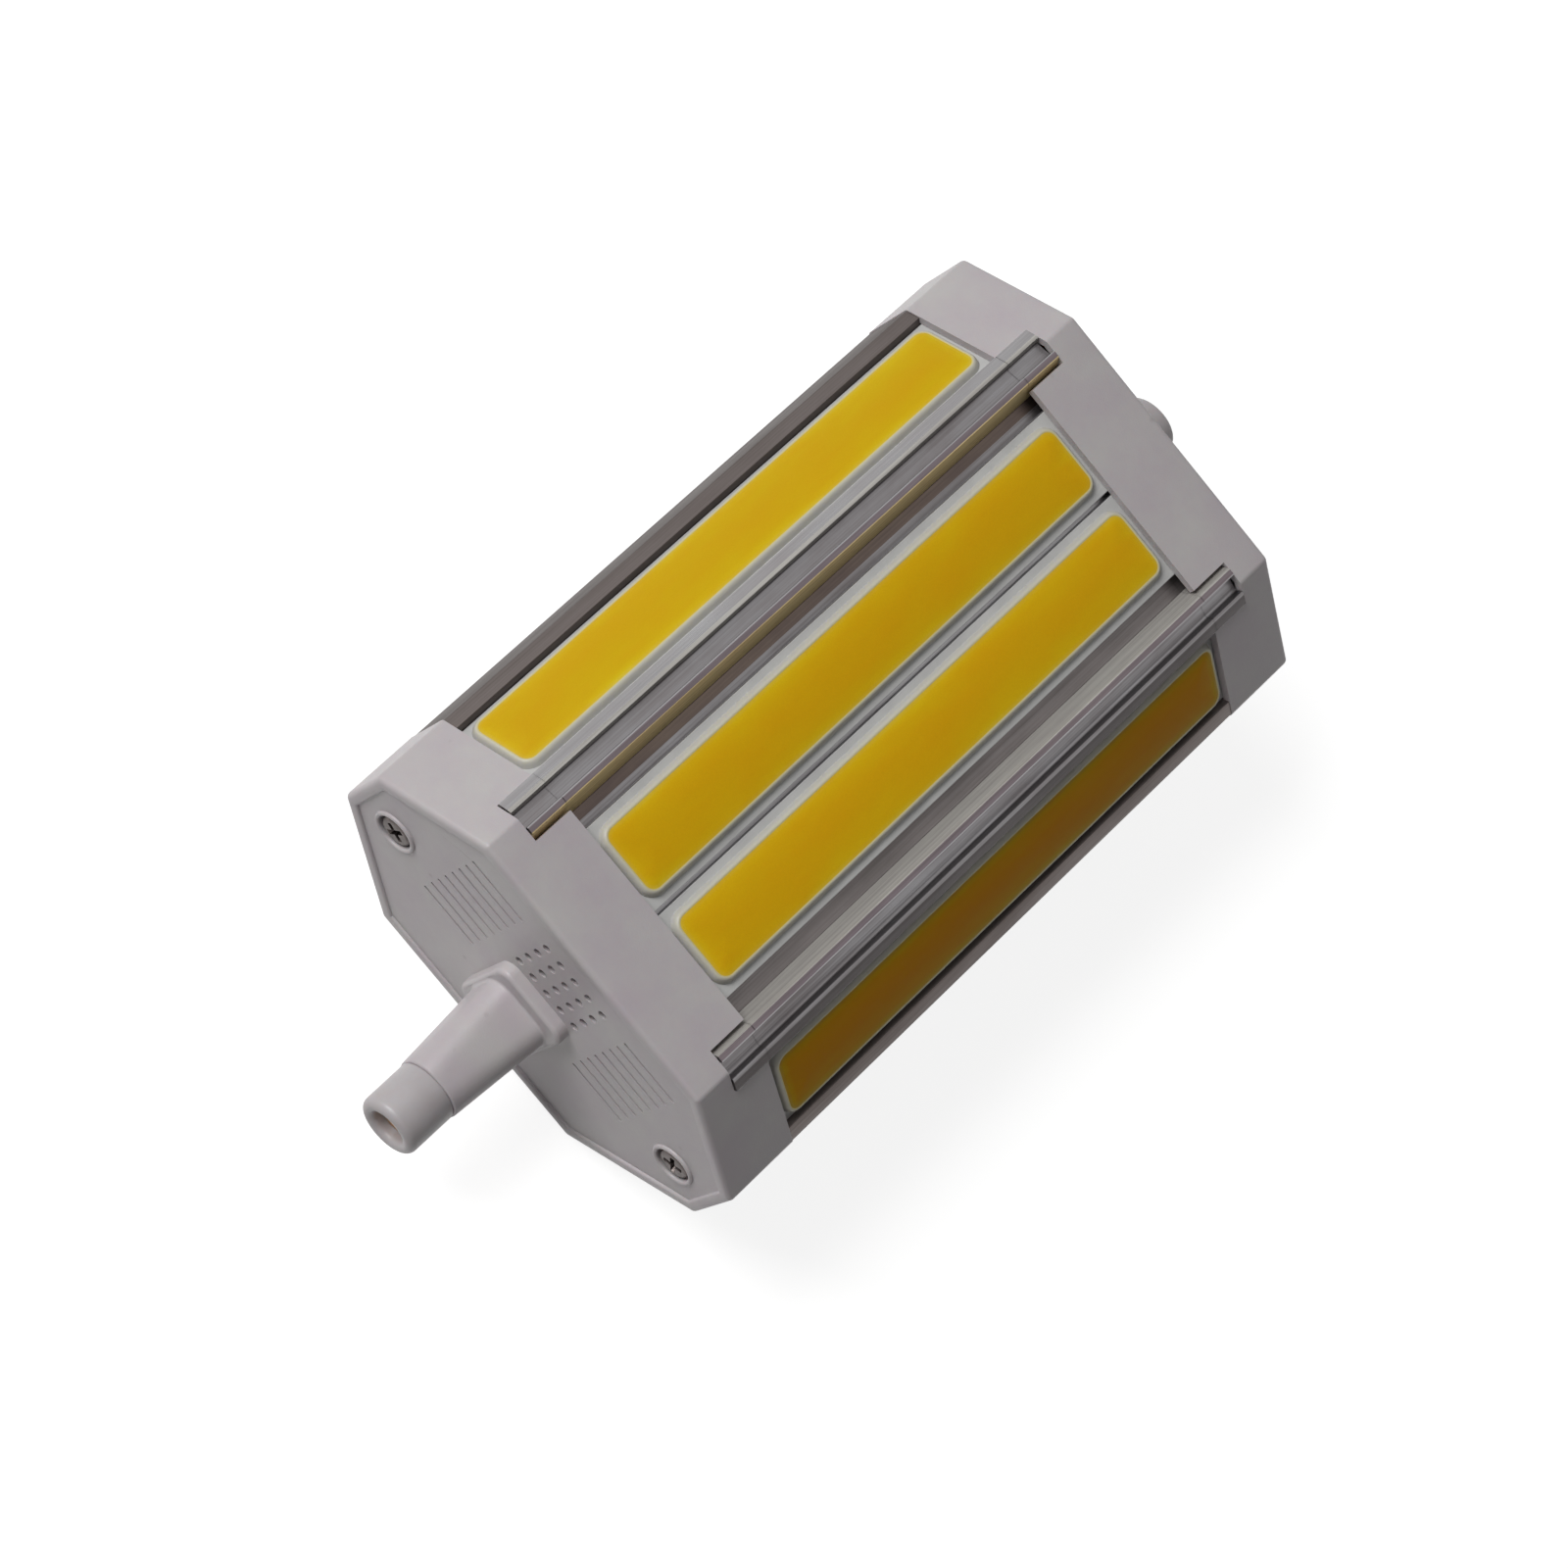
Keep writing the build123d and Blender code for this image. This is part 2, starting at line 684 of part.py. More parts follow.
with BuildPart() as transformer_bobbin:
    with BuildSketch(Plane.XY.offset(circuit_top)):
        with Locations((middle + core_place, 0)):
            Rectangle(core_length, bobbin_depth)
    extrude(amount=bobbin_base)
    # Pin rails beside the core's lower yoke, which carry the spool
    with BuildSketch(Plane.XY.offset(core_base)):
        with Locations((middle + core_place, 0)):
            Rectangle(core_length, bobbin_depth)
            Rectangle(core_length, leg_hole[1], mode=Mode.SUBTRACT)
    extrude(amount=core_yoke + bobbin_gap)
    # Tube around the centre leg, with a flange at its top and bottom
    with BuildSketch(Plane.XY.offset(spool_bottom)):
        with Locations((middle + core_place, 0)):
            Rectangle(*tube_size)
            Rectangle(*leg_hole, mode=Mode.SUBTRACT)
    extrude(amount=spool_height)
    for flange_bottom in (spool_bottom, spool_bottom + spool_height - bobbin_flange):
        with BuildSketch(Plane.XY.offset(flange_bottom)):
            with Locations((middle + core_place, 0)):
                Rectangle(spool_length, bobbin_flange_depth)
                Rectangle(*leg_hole, mode=Mode.SUBTRACT)
        extrude(amount=bobbin_flange)
finish(transformer_bobbin.part, "transformer_bobbin")

with BuildPart() as transformer_winding:
    with BuildSketch(Plane.XY.offset(spool_bottom + bobbin_flange)):
        with Locations((middle + core_place, 0)):
            winding_outline = Rectangle(spool_length, winding_depth)
            chamfer(winding_outline.vertices(), length=winding_chamfer)
            Rectangle(*tube_size, mode=Mode.SUBTRACT)
    extrude(amount=spool_height - 2 * bobbin_flange)
finish(transformer_winding.part, "transformer_winding")


def standing_capacitor(place, diameter, height):
    """An electrolytic capacitor that stands on the circuit board."""
    with BuildPart() as capacitor:
        with BuildSketch(Plane.XY.offset(circuit_top)):
            with Locations((middle + place[0], place[1])):
                disc(diameter)
        extrude(amount=height)
        chamfer(capacitor.faces().sort_by(Axis.Z)[-1].edges(), length=capacitor_chamfer)
    return capacitor.part


def chip(place, feet, pitch):
    """A moulded chip with a row of feet at each long side."""
    with BuildPart() as package:
        with BuildSketch(Plane.XY.offset(circuit_top)):
            with Locations((middle + place[0], place[1])):
                with GridLocations(pitch, chip_width + chip_foot_reach, feet, 2):
                    Rectangle(chip_foot_width, chip_foot_reach)
        extrude(amount=chip_lift + chip_foot_height)
        with BuildSketch(Plane.XY.offset(circuit_top + chip_lift)):
            with Locations((middle + place[0], place[1])):
                Rectangle(chip_length, chip_width)
        extrude(amount=chip_height)
    return package.part


finish(
    standing_capacitor(input_capacitor_place, input_capacitor_diameter, input_capacitor_height),
    "input_capacitor",
)
finish(
    standing_capacitor(output_capacitor_place, output_capacitor_diameter, output_capacitor_height),
    "output_capacitor",
)
finish(chip(rectifier_place, rectifier_feet, rectifier_foot_pitch), "bridge_rectifier")
finish(chip(controller_place, controller_feet, controller_foot_pitch), "controller_chip")

with BuildPart() as film_capacitor:
    with BuildSketch(Plane.XY.offset(circuit_top)):
        with Locations((middle + film_capacitor_place[0], film_capacitor_place[1])):
            film_outline = Rectangle(film_capacitor_length, film_capacitor_width)
            chamfer(film_outline.vertices(), length=film_capacitor_chamfer)
    extrude(amount=film_capacitor_height)
finish(film_capacitor.part, "film_capacitor")

# Drum choke: a winding between two flanges
with BuildPart() as drum_choke:
    for flange_bottom in (circuit_top, circuit_top + choke_height - choke_flange):
        with BuildSketch(Plane.XY.offset(flange_bottom)):
            with Locations((middle + choke_place[0], choke_place[1])):
                disc(choke_diameter)
        extrude(amount=choke_flange)
    with BuildSketch(Plane.XY.offset(circuit_top + choke_flange)):
        with Locations((middle + choke_place[0], choke_place[1])):
            disc(choke_winding)
    extrude(amount=choke_height - 2 * choke_flange)
finish(drum_choke.part, "drum_choke")


def eased(points, bend):
    """A line of points with each inner corner cut off at a distance from it."""
    line = [Vector(*point) for point in points]
    result = [line[0]]
    for before, corner, after in zip(line, line[1:], line[2:]):
        result.append(corner + (before - corner).normalized() * bend)
        result.append(corner + (after - corner).normalized() * bend)
    return result + [line[-1]]


def lead(points, diameter, bend):
    """A wire along a line of points with eased bends."""
    with BuildPart() as wire:
        with BuildLine() as path:
            Polyline(*eased(points, bend))
        with BuildSketch(Plane(origin=path.line @ 0, z_dir=path.line % 0)):
            disc(diameter, wire_sides)
        sweep(path=path.line, transition=Transition.RIGHT)
    return wire.part


# Fuse resistor: a round body across the board with its wires bent down to the board
fuse_x = middle + fuse_place[0]
fuse_axis_height = circuit_top + fuse_lift + fuse_diameter / 2
fuse_wire_side = fuse_length / 2 + fuse_wire_reach
fuse_points = [
    (fuse_x, fuse_place[1] - fuse_wire_side, circuit_top),
    (fuse_x, fuse_place[1] - fuse_wire_side, fuse_axis_height),
    (fuse_x, fuse_place[1] + fuse_wire_side, fuse_axis_height),
    (fuse_x, fuse_place[1] + fuse_wire_side, circuit_top),
]
with BuildPart() as fuse_resistor:
    with BuildSketch(Plane.XZ.offset(-fuse_place[1] - fuse_length / 2)):
        with Locations((fuse_x, fuse_axis_height)):
            disc(fuse_diameter)
    extrude(amount=fuse_length)
    body_ends = fuse_resistor.faces().sort_by(Axis.Y)
    chamfer(body_ends[0].edges() + body_ends[-1].edges(), length=fuse_end_chamfer)
    add(lead(fuse_points, fuse_wire, fuse_wire_bend))
finish(fuse_resistor.part, "fuse_resistor")

# Contact leads: from the tail of each contact stud straight in, then down onto the circuit board
for end, end_name, stem_reach in ((-1, "front", front_stem_reach), (1, "rear", rear_stem_reach)):
    tail_x = middle + end * (half_body + stem_reach - spigot_length - stud_tail)
    foot_x = middle + end * contact_lead_place
    with BuildPart() as contact_wire:
        add(
            lead(
                [(tail_x, 0, pin_height), (foot_x, 0, pin_height), (foot_x, 0, circuit_top)],
                contact_lead,
                contact_lead_bend,
            )
        )
        with BuildSketch(Plane.XY.offset(circuit_top)):
            with Locations((foot_x, 0)):
                disc(contact_lead_pad)
        extrude(amount=solder_height)
    finish(contact_wire.part, f"contact_lead_{end_name}")


def solder_block(bed, end):
    """The solder that fills the notch at an end of an LED board."""
    with BuildPart() as block:
        with BuildSketch(bed.offset(tape_thickness)):
            with Locations((end * notch_spread / 2, 0)):
                Rectangle(notch_length, notch_width)
        extrude(amount=board_thickness)
    return block.part


# Leads of the LED strips: the strips are in series, so two leads run from the front to the circuit
# board and three jumpers join neighbouring strips, one at the front and two at the rear
for bed_name in ("left", "right"):
    side = 1 if bed_name == "left" else -1
    place = wire_places[bed_name]
    start_x = middle - notch_spread / 2
    turn_x = middle - heatsink_reach - lead_clearance
    foot_x = middle - strip_lead_place
    foot_y = side * strip_lead_side
    run_height = circuit_top + strip_lead_rise
    points = [
        (start_x, *place),
        (turn_x, *place),
        (turn_x, foot_y, run_height),
        (foot_x, foot_y, run_height),
        (foot_x, foot_y, circuit_top),
    ]
    with BuildPart() as strip_wire:
        add(lead(points, strip_lead, strip_lead_bend))
        add(solder_block(beds[bed_name], -1))
        with BuildSketch(Plane.XY.offset(circuit_top)):
            with Locations((foot_x, foot_y)):
                disc(strip_lead_pad)
        extrude(amount=solder_height)
    finish(strip_wire.part, f"strip_lead_{bed_name}")

for jumper_name, first, second, end in (
    ("front", "top_left", "top_right", -1),
    ("rear_left", "left", "top_left", 1),
    ("rear_right", "right", "top_right", 1),
):
    start_x = middle + end * notch_spread / 2
    turn_x = middle + end * (heatsink_reach + lead_clearance)
    points = [
        (start_x, *wire_places[first]),
        (turn_x, *wire_places[first]),
        (turn_x, *wire_places[second]),
        (start_x, *wire_places[second]),
    ]
    with BuildPart() as jumper:
        add(lead(points, strip_lead, strip_lead_bend))
        add(solder_block(beds[first], end))
        add(solder_block(beds[second], end))
    finish(jumper.part, f"strip_jumper_{jumper_name}")
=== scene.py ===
# Double-ended LED lamp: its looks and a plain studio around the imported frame.
# Lengths in the dictionaries are millimetres where no note says otherwise, in the row frame: X along
# the lamp (front pin at -X), Y across it, Z up, with the end caps standing on the floor at Z = 0.
from math import atan2, cos, pi, radians, sin, tan

import bmesh
import bpy
from mathutils import Matrix, Vector


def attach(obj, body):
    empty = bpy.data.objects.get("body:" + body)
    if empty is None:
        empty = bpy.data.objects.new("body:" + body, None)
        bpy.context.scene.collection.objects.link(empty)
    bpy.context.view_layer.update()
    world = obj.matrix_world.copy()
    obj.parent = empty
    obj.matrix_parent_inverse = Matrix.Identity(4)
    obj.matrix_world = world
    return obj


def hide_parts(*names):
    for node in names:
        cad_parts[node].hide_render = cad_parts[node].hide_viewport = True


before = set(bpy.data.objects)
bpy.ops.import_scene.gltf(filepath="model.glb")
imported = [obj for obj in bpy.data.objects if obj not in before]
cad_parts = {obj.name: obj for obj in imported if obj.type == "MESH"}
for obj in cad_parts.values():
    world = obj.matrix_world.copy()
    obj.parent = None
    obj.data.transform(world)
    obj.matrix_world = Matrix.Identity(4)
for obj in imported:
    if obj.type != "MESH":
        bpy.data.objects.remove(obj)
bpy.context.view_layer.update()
print("frame loaded,", len(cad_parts), "nodes")

mm = 0.001
lampBody = "root"

# The octagon that the whole lamp follows, and its stations along X from the middle of the body
octagon = {
    "width": 54.2,
    "height": 31.6,
    "topWidth": 32.0,
    "bottomWidth": 29.2,
    "upperRise": 9.7,
    "lowerRise": 12.8,
    "middleX": 3.8,
    "bodyReach": 44.0,
    "skirtReach": 34.65,
    "heatsinkReach": 39.4,
}
upperAngle = atan2(octagon["upperRise"], (octagon["width"] - octagon["topWidth"]) / 2)
lowerAngle = atan2(octagon["lowerRise"], (octagon["width"] - octagon["bottomWidth"]) / 2)
ends = {"front": -1, "rear": 1}


def stationX(end, reach):
    # a reach is a distance from the middle of the body towards one end
    return octagon["middleX"] + end * reach


def meetingPoint(first, second):
    # where two lines cross, each given as a*y + b*z = c
    scale = first[0] * second[1] - first[1] * second[0]
    return (
        (first[2] * second[1] - first[1] * second[2]) / scale,
        (first[0] * second[2] - first[2] * second[0]) / scale,
    )


def octagonCorners(top, upper, side, lower, bottom):
    # eight (y, z) corners, each kind of face moved in by its own inset
    upperLevel = sin(upperAngle) * octagon["topWidth"] / 2 + cos(upperAngle) * octagon["height"]
    lowerLevel = sin(lowerAngle) * octagon["bottomWidth"] / 2
    faces = [
        (0, 1, octagon["height"] - top),
        (sin(upperAngle), cos(upperAngle), upperLevel - upper),
        (1, 0, octagon["width"] / 2 - side),
        (sin(lowerAngle), -cos(lowerAngle), lowerLevel - lower),
        (0, -1, -bottom),
    ]
    half = [meetingPoint(a, b) for a, b in zip(faces, faces[1:])]
    return half + [(-y, z) for y, z in reversed(half)]


def evenOctagon(inset):
    return octagonCorners(inset, inset, inset, inset, inset)


def onSlant(along, above):
    # a point by the left upper slant: along it from its top corner, and above its surface
    return (
        octagon["topWidth"] / 2 + along * cos(upperAngle) + above * sin(upperAngle),
        octagon["height"] - along * sin(upperAngle) + above * cos(upperAngle),
    )


def roundedCorner(before, corner, after, radius, steps):
    # an arc of steps + 1 points in place of one corner
    here = Vector(corner)
    back = (Vector(before) - here).normalized()
    ahead = (Vector(after) - here).normalized()
    half = back.angle(ahead) / 2
    centre = here + (back + ahead).normalized() * (radius / sin(half))
    start = (back * (radius / tan(half)) + here - centre).normalized()
    end = (ahead * (radius / tan(half)) + here - centre).normalized()
    return [tuple(centre + start.slerp(end, step / steps) * radius) for step in range(steps + 1)]


def roundedOutline(corners, radius, steps):
    result = []
    for i, corner in enumerate(corners):
        after = corners[(i + 1) % len(corners)]
        result += roundedCorner(corners[i - 1], corner, after, radius, steps)
    return result


def roundedBox(width, height, radius, steps):
    y, z = width / 2, height / 2
    return roundedOutline([(y, z), (-y, z), (-y, -z), (y, -z)], radius, steps)


def arcPoints(centre, radius, start, end, steps):
    # points of an arc, angles in degrees
    turns = [radians(start + (end - start) * k / steps) for k in range(steps + 1)]
    return [(centre[0] + radius * cos(turn), centre[1] + radius * sin(turn)) for turn in turns]


def circlePoints(centre, radius, count):
    return arcPoints(centre, radius, 0, 360, count)[:count]


def linkObject(name, data):
    obj = bpy.data.objects.new(name, data)
    bpy.context.scene.collection.objects.link(obj)
    return obj


def rawObject(name, verts, edges=(), faces=()):
    # verts in metres
    mesh = bpy.data.meshes.new(name)
    mesh.from_pydata(verts, edges, faces)
    return linkObject(name, mesh)


def tidyMesh(obj, smooth=35):
    # merges doubles, turns the faces outward and keeps only the sharp edges sharp
    bm = bmesh.new()
    bm.from_mesh(obj.data)
    bmesh.ops.remove_doubles(bm, verts=bm.verts, dist=1e-6)
    bmesh.ops.dissolve_degenerate(bm, edges=bm.edges, dist=1e-6)
    bmesh.ops.recalc_face_normals(bm, faces=bm.faces)
    for face in bm.faces:
        face.smooth = True
    for edge in bm.edges:
        edge.smooth = len(edge.link_faces) == 2 and edge.calc_face_angle(pi) < radians(smooth)
    bm.to_mesh(obj.data)
    bm.free()
    return obj


def meshObject(name, verts, faces, smooth=35):
    return tidyMesh(rawObject(name, [Vector(v) * mm for v in verts], faces=faces), smooth)


def loftLoops(name, loops, ring=True, smooth=35):
    # joins loops of equally many points; a ring closes on its first loop, else both ends are capped
    rows, columns = len(loops), len(loops[0])
    verts = [point for loop in loops for point in loop]
    faces = []
    for r in range(rows if ring else rows - 1):
        for c in range(columns):
            ahead = (c + 1) % columns
            below = ((r + 1) % rows) * columns
            faces.append((r * columns + c, r * columns + ahead, below + ahead, below + c))
    if not ring:
        faces.append(tuple(range(columns)))
        faces.append(tuple(range((rows - 1) * columns, rows * columns)))
    return meshObject(name, verts, faces, smooth)


def lathe(name, profile, place, segments, ring=True, smooth=35):
    # turns (x, radius) points about an axis along X through place = (y, z)
    loops = [[(x, y, z) for y, z in circlePoints(place, radius, segments)] for x, radius in profile]
    return loftLoops(name, loops, ring, smooth)


pole = 0.05  # radius of the small faces that close a turned piece on its axis


def fromEnd(end, profile):
    # (reach, radius) points at one end of the lamp as (x, radius) points
    return [(stationX(end, reach), radius) for reach, radius in profile]


def boxPart(name, low, high):
    corners = [(x, y, z) for x in (low[0], high[0]) for y in (low[1], high[1]) for z in (low[2], high[2])]
    faces = [(0, 1, 3, 2), (4, 6, 7, 5), (0, 4, 5, 1), (2, 3, 7, 6), (0, 2, 6, 4), (1, 5, 7, 3)]
    return meshObject(name, corners, faces)


def softenEdges(obj, width, segments=2, angle=40):
    bevel = obj.modifiers.new("softEdges", "BEVEL")
    bevel.width = width * mm
    bevel.segments = segments
    bevel.limit_method = "ANGLE"
    bevel.angle_limit = radians(angle)
    bevel.harden_normals = True
    return obj


def settle(obj):
    # the evaluated result becomes the object's own plain mesh
    bpy.context.view_layer.update()
    graph = bpy.context.evaluated_depsgraph_get()
    mesh = bpy.data.meshes.new_from_object(obj.evaluated_get(graph), depsgraph=graph)
    obj.modifiers.clear()
    obj.data = mesh
    return obj


def joinParts(name, parts):
    bm = bmesh.new()
    for part in parts:
        bm.from_mesh(settle(part).data)
        bpy.data.objects.remove(part)
    mesh = bpy.data.meshes.new(name)
    bm.to_mesh(mesh)
    bm.free()
    return linkObject(name, mesh)


def fit(obj, material, slot, *nodes):
    # gives a finished piece its material and its body, and hides the nodes that it stands for; the slot is
    # not used
    obj.data.materials.clear()
    obj.data.materials.append(material)
    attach(obj, lampBody)
    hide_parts(*nodes)
    return obj


# Node trees: a node's inputs are given by name, each as a value or as the socket that feeds it
def addNode(tree, kind, inputs=None, **settings):
    made = tree.nodes.new(kind)
    for key, value in settings.items():
        setattr(made, key, value)
    for key, value in (inputs or {}).items():
        for part in value if isinstance(value, list) else [value]:
            if isinstance(part, bpy.types.NodeSocket):
                tree.links.new(part, made.inputs[key])
            else:
                made.inputs[key].default_value = part
    return made


def calculate(tree, operation, first, second):
    return addNode(tree, "ShaderNodeMath", {0: first, 1: second}, operation=operation).outputs[0]


def geometryTree(name, sizes):
    tree = bpy.data.node_groups.new(name, "GeometryNodeTree")
    tree.interface.new_socket("Geometry", in_out="OUTPUT", socket_type="NodeSocketGeometry")
    tree.interface.new_socket("Geometry", in_out="INPUT", socket_type="NodeSocketGeometry")
    for label, kind in sizes.items():
        tree.interface.new_socket(label, in_out="INPUT", socket_type="NodeSocket" + kind)
    return tree, addNode(tree, "NodeGroupInput").outputs


def endTree(tree, geometry, material):
    # every tree ends in plain geometry with its material
    plain = addNode(tree, "GeometryNodeRealizeInstances", {"Geometry": geometry})
    painted = addNode(tree, "GeometryNodeSetMaterial", {"Geometry": plain.outputs[0], "Material": material})
    addNode(tree, "NodeGroupOutput", {"Geometry": painted.outputs[0]})


def runTree(obj, tree, values):
    modifier = obj.modifiers.new(tree.name, "NODES")
    modifier.node_group = tree
    for item in tree.interface.items_tree:
        if item.in_out == "INPUT" and item.name in values:
            modifier[item.identifier] = values[item.name]
    return settle(obj)


def outlineObject(name, loops):
    # closed loops of edges in the XY plane, which a tree fills and extrudes
    verts, edges = [], []
    for loop in loops:
        first = len(verts)
        verts += [(x * mm, y * mm, 0) for x, y in loop]
        edges += [(first + k, first + (k + 1) % len(loop)) for k in range(len(loop))]
    return rawObject(name, verts, edges)


def endSlab(tree, given, curves, thickness):
    # fills the curves in the XY plane, makes a closed slab, and turns it into the lamp's YZ section
    filled = addNode(tree, "GeometryNodeFillCurve", {"Curve": curves}, mode="TRIANGLES").outputs[0]
    raised = addNode(
        tree,
        "GeometryNodeExtrudeMesh",
        {"Mesh": filled, "Offset Scale": thickness, "Individual": False},
        mode="FACES",
    )
    under = addNode(tree, "GeometryNodeFlipFaces", {"Mesh": filled})
    both = addNode(tree, "GeometryNodeJoinGeometry", {"Geometry": [raised.outputs[0], under.outputs[0]]})
    merged = addNode(tree, "GeometryNodeMergeByDistance", {"Geometry": both.outputs[0], "Distance": 1e-6})
    place = addNode(tree, "ShaderNodeCombineXYZ", {"X": given["Start"]}).outputs[0]
    inputs = {"Geometry": merged.outputs[0], "Translation": place, "Rotation": (pi / 2, 0, pi / 2)}
    endTree(tree, addNode(tree, "GeometryNodeTransform", inputs).outputs[0], given["Material"])


# Materials: colours are written as the 0 to 255 values that they should show
def tone(red, green, blue):
    def linear(value):
        value /= 255
        return value / 12.92 if value <= 0.04045 else ((value + 0.055) / 1.055) ** 2.4

    return (linear(red), linear(green), linear(blue), 1)


def bareTree(owner):
    # the empty node tree of a material or a world
    owner.use_nodes = True
    owner.node_tree.nodes.clear()
    return owner.node_tree


def newMaterial(name):
    material = bpy.data.materials.new(name)
    return material, bareTree(material)


def paint(material, inputs):
    # ends a material in its surface
    shader = addNode(material.node_tree, "ShaderNodeBsdfPrincipled", inputs)
    addNode(material.node_tree, "ShaderNodeOutputMaterial", {"Surface": shader.outputs[0]})
    return material


def patternSpace(tree, stretch=(1, 1, 1)):
    # object coordinates in millimetres, squeezed along each axis by the stretch
    where = addNode(tree, "ShaderNodeTexCoord").outputs["Object"]
    size = tuple(1 / mm / s for s in stretch)
    return addNode(tree, "ShaderNodeMapping", {"Vector": where, "Scale": size}).outputs[0]


def noise(tree, space, size, detail, rough):
    inputs = {"Vector": space, "Scale": 1 / size, "Detail": detail, "Roughness": rough}
    return addNode(tree, "ShaderNodeTexNoise", inputs).outputs["Fac"]


def ramp(tree, factor, stops):
    made = addNode(tree, "ShaderNodeValToRGB", {"Fac": factor})
    elements = made.color_ramp.elements
    while len(elements) < len(stops):
        elements.new(0.5)
    for element, (position, colour) in zip(elements, stops):
        element.position = position
        element.color = colour
    return made.outputs["Color"]


def mixTones(tree, factor, first, second):
    # sockets 6 and 7 are the two colours
    inputs = {"Factor": factor, 6: first, 7: second}
    return addNode(tree, "ShaderNodeMix", inputs, data_type="RGBA").outputs[2]


def spread(tree, factor, low, high, start=0.3, end=0.7):
    inputs = {"Value": factor, "From Min": start, "From Max": end, "To Min": low, "To Max": high}
    return addNode(tree, "ShaderNodeMapRange", inputs).outputs[0]


def bump(tree, height, depth, strength, under=None):
    inputs = {"Height": height, "Distance": depth * mm, "Strength": strength}
    if under:
        inputs["Normal"] = under
    return addNode(tree, "ShaderNodeBump", inputs).outputs[0]


def mouldedPlastic(name, look):
    # moulded plastic: cloudy tone, fine eroded grain, a few darker specks
    material, tree = newMaterial(name)
    space = patternSpace(tree)
    clouds = noise(tree, space, look["cloudSize"], 4, 0.6)
    grain = noise(tree, space, look["grainSize"], 2, 0.7)
    colour = mixTones(tree, spread(tree, clouds, 0, 1), look["colour"], look["cloudColour"])
    specks = addNode(tree, "ShaderNodeTexVoronoi", {"Vector": space, "Scale": 1 / look["speckSpacing"]})
    dots = spread(tree, specks.outputs["Distance"], look["speckStrength"], 0, 0.02, 0.07)
    soft = bump(tree, clouds, look["waveDepth"], 0.6)
    inputs = {
        "Base Color": mixTones(tree, dots, colour, look["speckColour"]),
        "Roughness": spread(tree, grain, look["roughness"] - 0.07, look["roughness"] + 0.07),
        "Normal": bump(tree, grain, look["grainDepth"], 1.0, soft),
        "Specular IOR Level": look["specular"],
        "Subsurface Weight": look["softness"],
        "Subsurface Scale": 0.6 * mm,
    }
    return paint(material, inputs)


def extrudedMetal(name, look):
    # drawn metal: long die lines along X, faint stains, finer pores
    material, tree = newMaterial(name)
    lines = noise(tree, patternSpace(tree, (look["lineLength"], 1, 1)), look["lineWidth"], 3, 0.65)
    stains = noise(tree, patternSpace(tree, (3, 1, 1)), look["stainSize"], 4, 0.6)
    pores = noise(tree, patternSpace(tree), look["poreSize"], 2, 0.5)
    colour = mixTones(tree, spread(tree, stains, 0, 1), look["colour"], look["stainColour"])
    stainRough = spread(tree, stains, look["roughness"] - 0.05, look["roughness"] + 0.06)
    drawn = bump(tree, lines, look["lineDepth"], 0.8)
    inputs = {
        "Base Color": mixTones(tree, spread(tree, lines, 0, 0.5, 0.35, 0.75), colour, look["lineColour"]),
        "Roughness": calculate(tree, "ADD", spread(tree, lines, -0.07, 0.07), stainRough),
        "Normal": bump(tree, pores, look["lineDepth"] * 0.4, 0.6, drawn),
        "Metallic": look["metallic"],
    }
    return paint(material, inputs)


def plainFinish(name, look):
    # smaller pieces: a tone that drifts into a second one, with its own grain
    material, tree = newMaterial(name)
    space = patternSpace(tree, look.get("stretch", (1, 1, 1)))
    drift = noise(tree, space, look["driftSize"], 4, 0.6)
    grain = noise(tree, space, look["grainSize"], 2, 0.6)
    inputs = {
        "Base Color": mixTones(tree, spread(tree, drift, 0, 1), look["colour"], look["secondColour"]),
        "Roughness": spread(tree, grain, look["roughness"] - 0.06, look["roughness"] + 0.06),
        "Normal": bump(tree, grain, look["grainDepth"], 0.8),
        "Metallic": look.get("metallic", 0.0),
        "Coat Weight": look.get("coat", 0.0),
        "Coat Roughness": 0.15,
    }
    return paint(material, inputs)


def siliconeFinish(name, look):
    # cast silicone: its tone changes inward from its edge, with soft patches and tiny settled grains
    material, tree = newMaterial(name)
    edge = addNode(tree, "ShaderNodeAttribute", attribute_name="edgeDistance").outputs["Fac"]
    stops = {0.0: "rimColour", 0.12: "edgeColour", 0.3: "colour", 0.8: "middleColour"}
    body = ramp(tree, edge, [(position, look[key]) for position, key in stops.items()])
    patches = noise(tree, patternSpace(tree, (3, 1, 1)), look["patchSize"], 4, 0.6)
    body = mixTones(tree, spread(tree, patches, 0, look["patchStrength"]), body, look["patchColour"])
    grains = noise(tree, patternSpace(tree), look["grainSize"], 2, 0.6)
    soft = bump(tree, patches, 0.12, 0.5)
    inputs = {
        "Base Color": mixTones(tree, spread(tree, grains, 0, 0.22), body, look["grainColour"]),
        "Roughness": spread(tree, grains, look["roughness"] - 0.06, look["roughness"] + 0.08),
        "Normal": bump(tree, grains, 0.02, 0.7, soft),
        "Specular IOR Level": look["specular"],
        "Subsurface Weight": 0.12,
        "Subsurface Scale": 0.8 * mm,
        "Subsurface Radius": (1.0, 0.7, 0.15),
    }
    return paint(material, inputs)


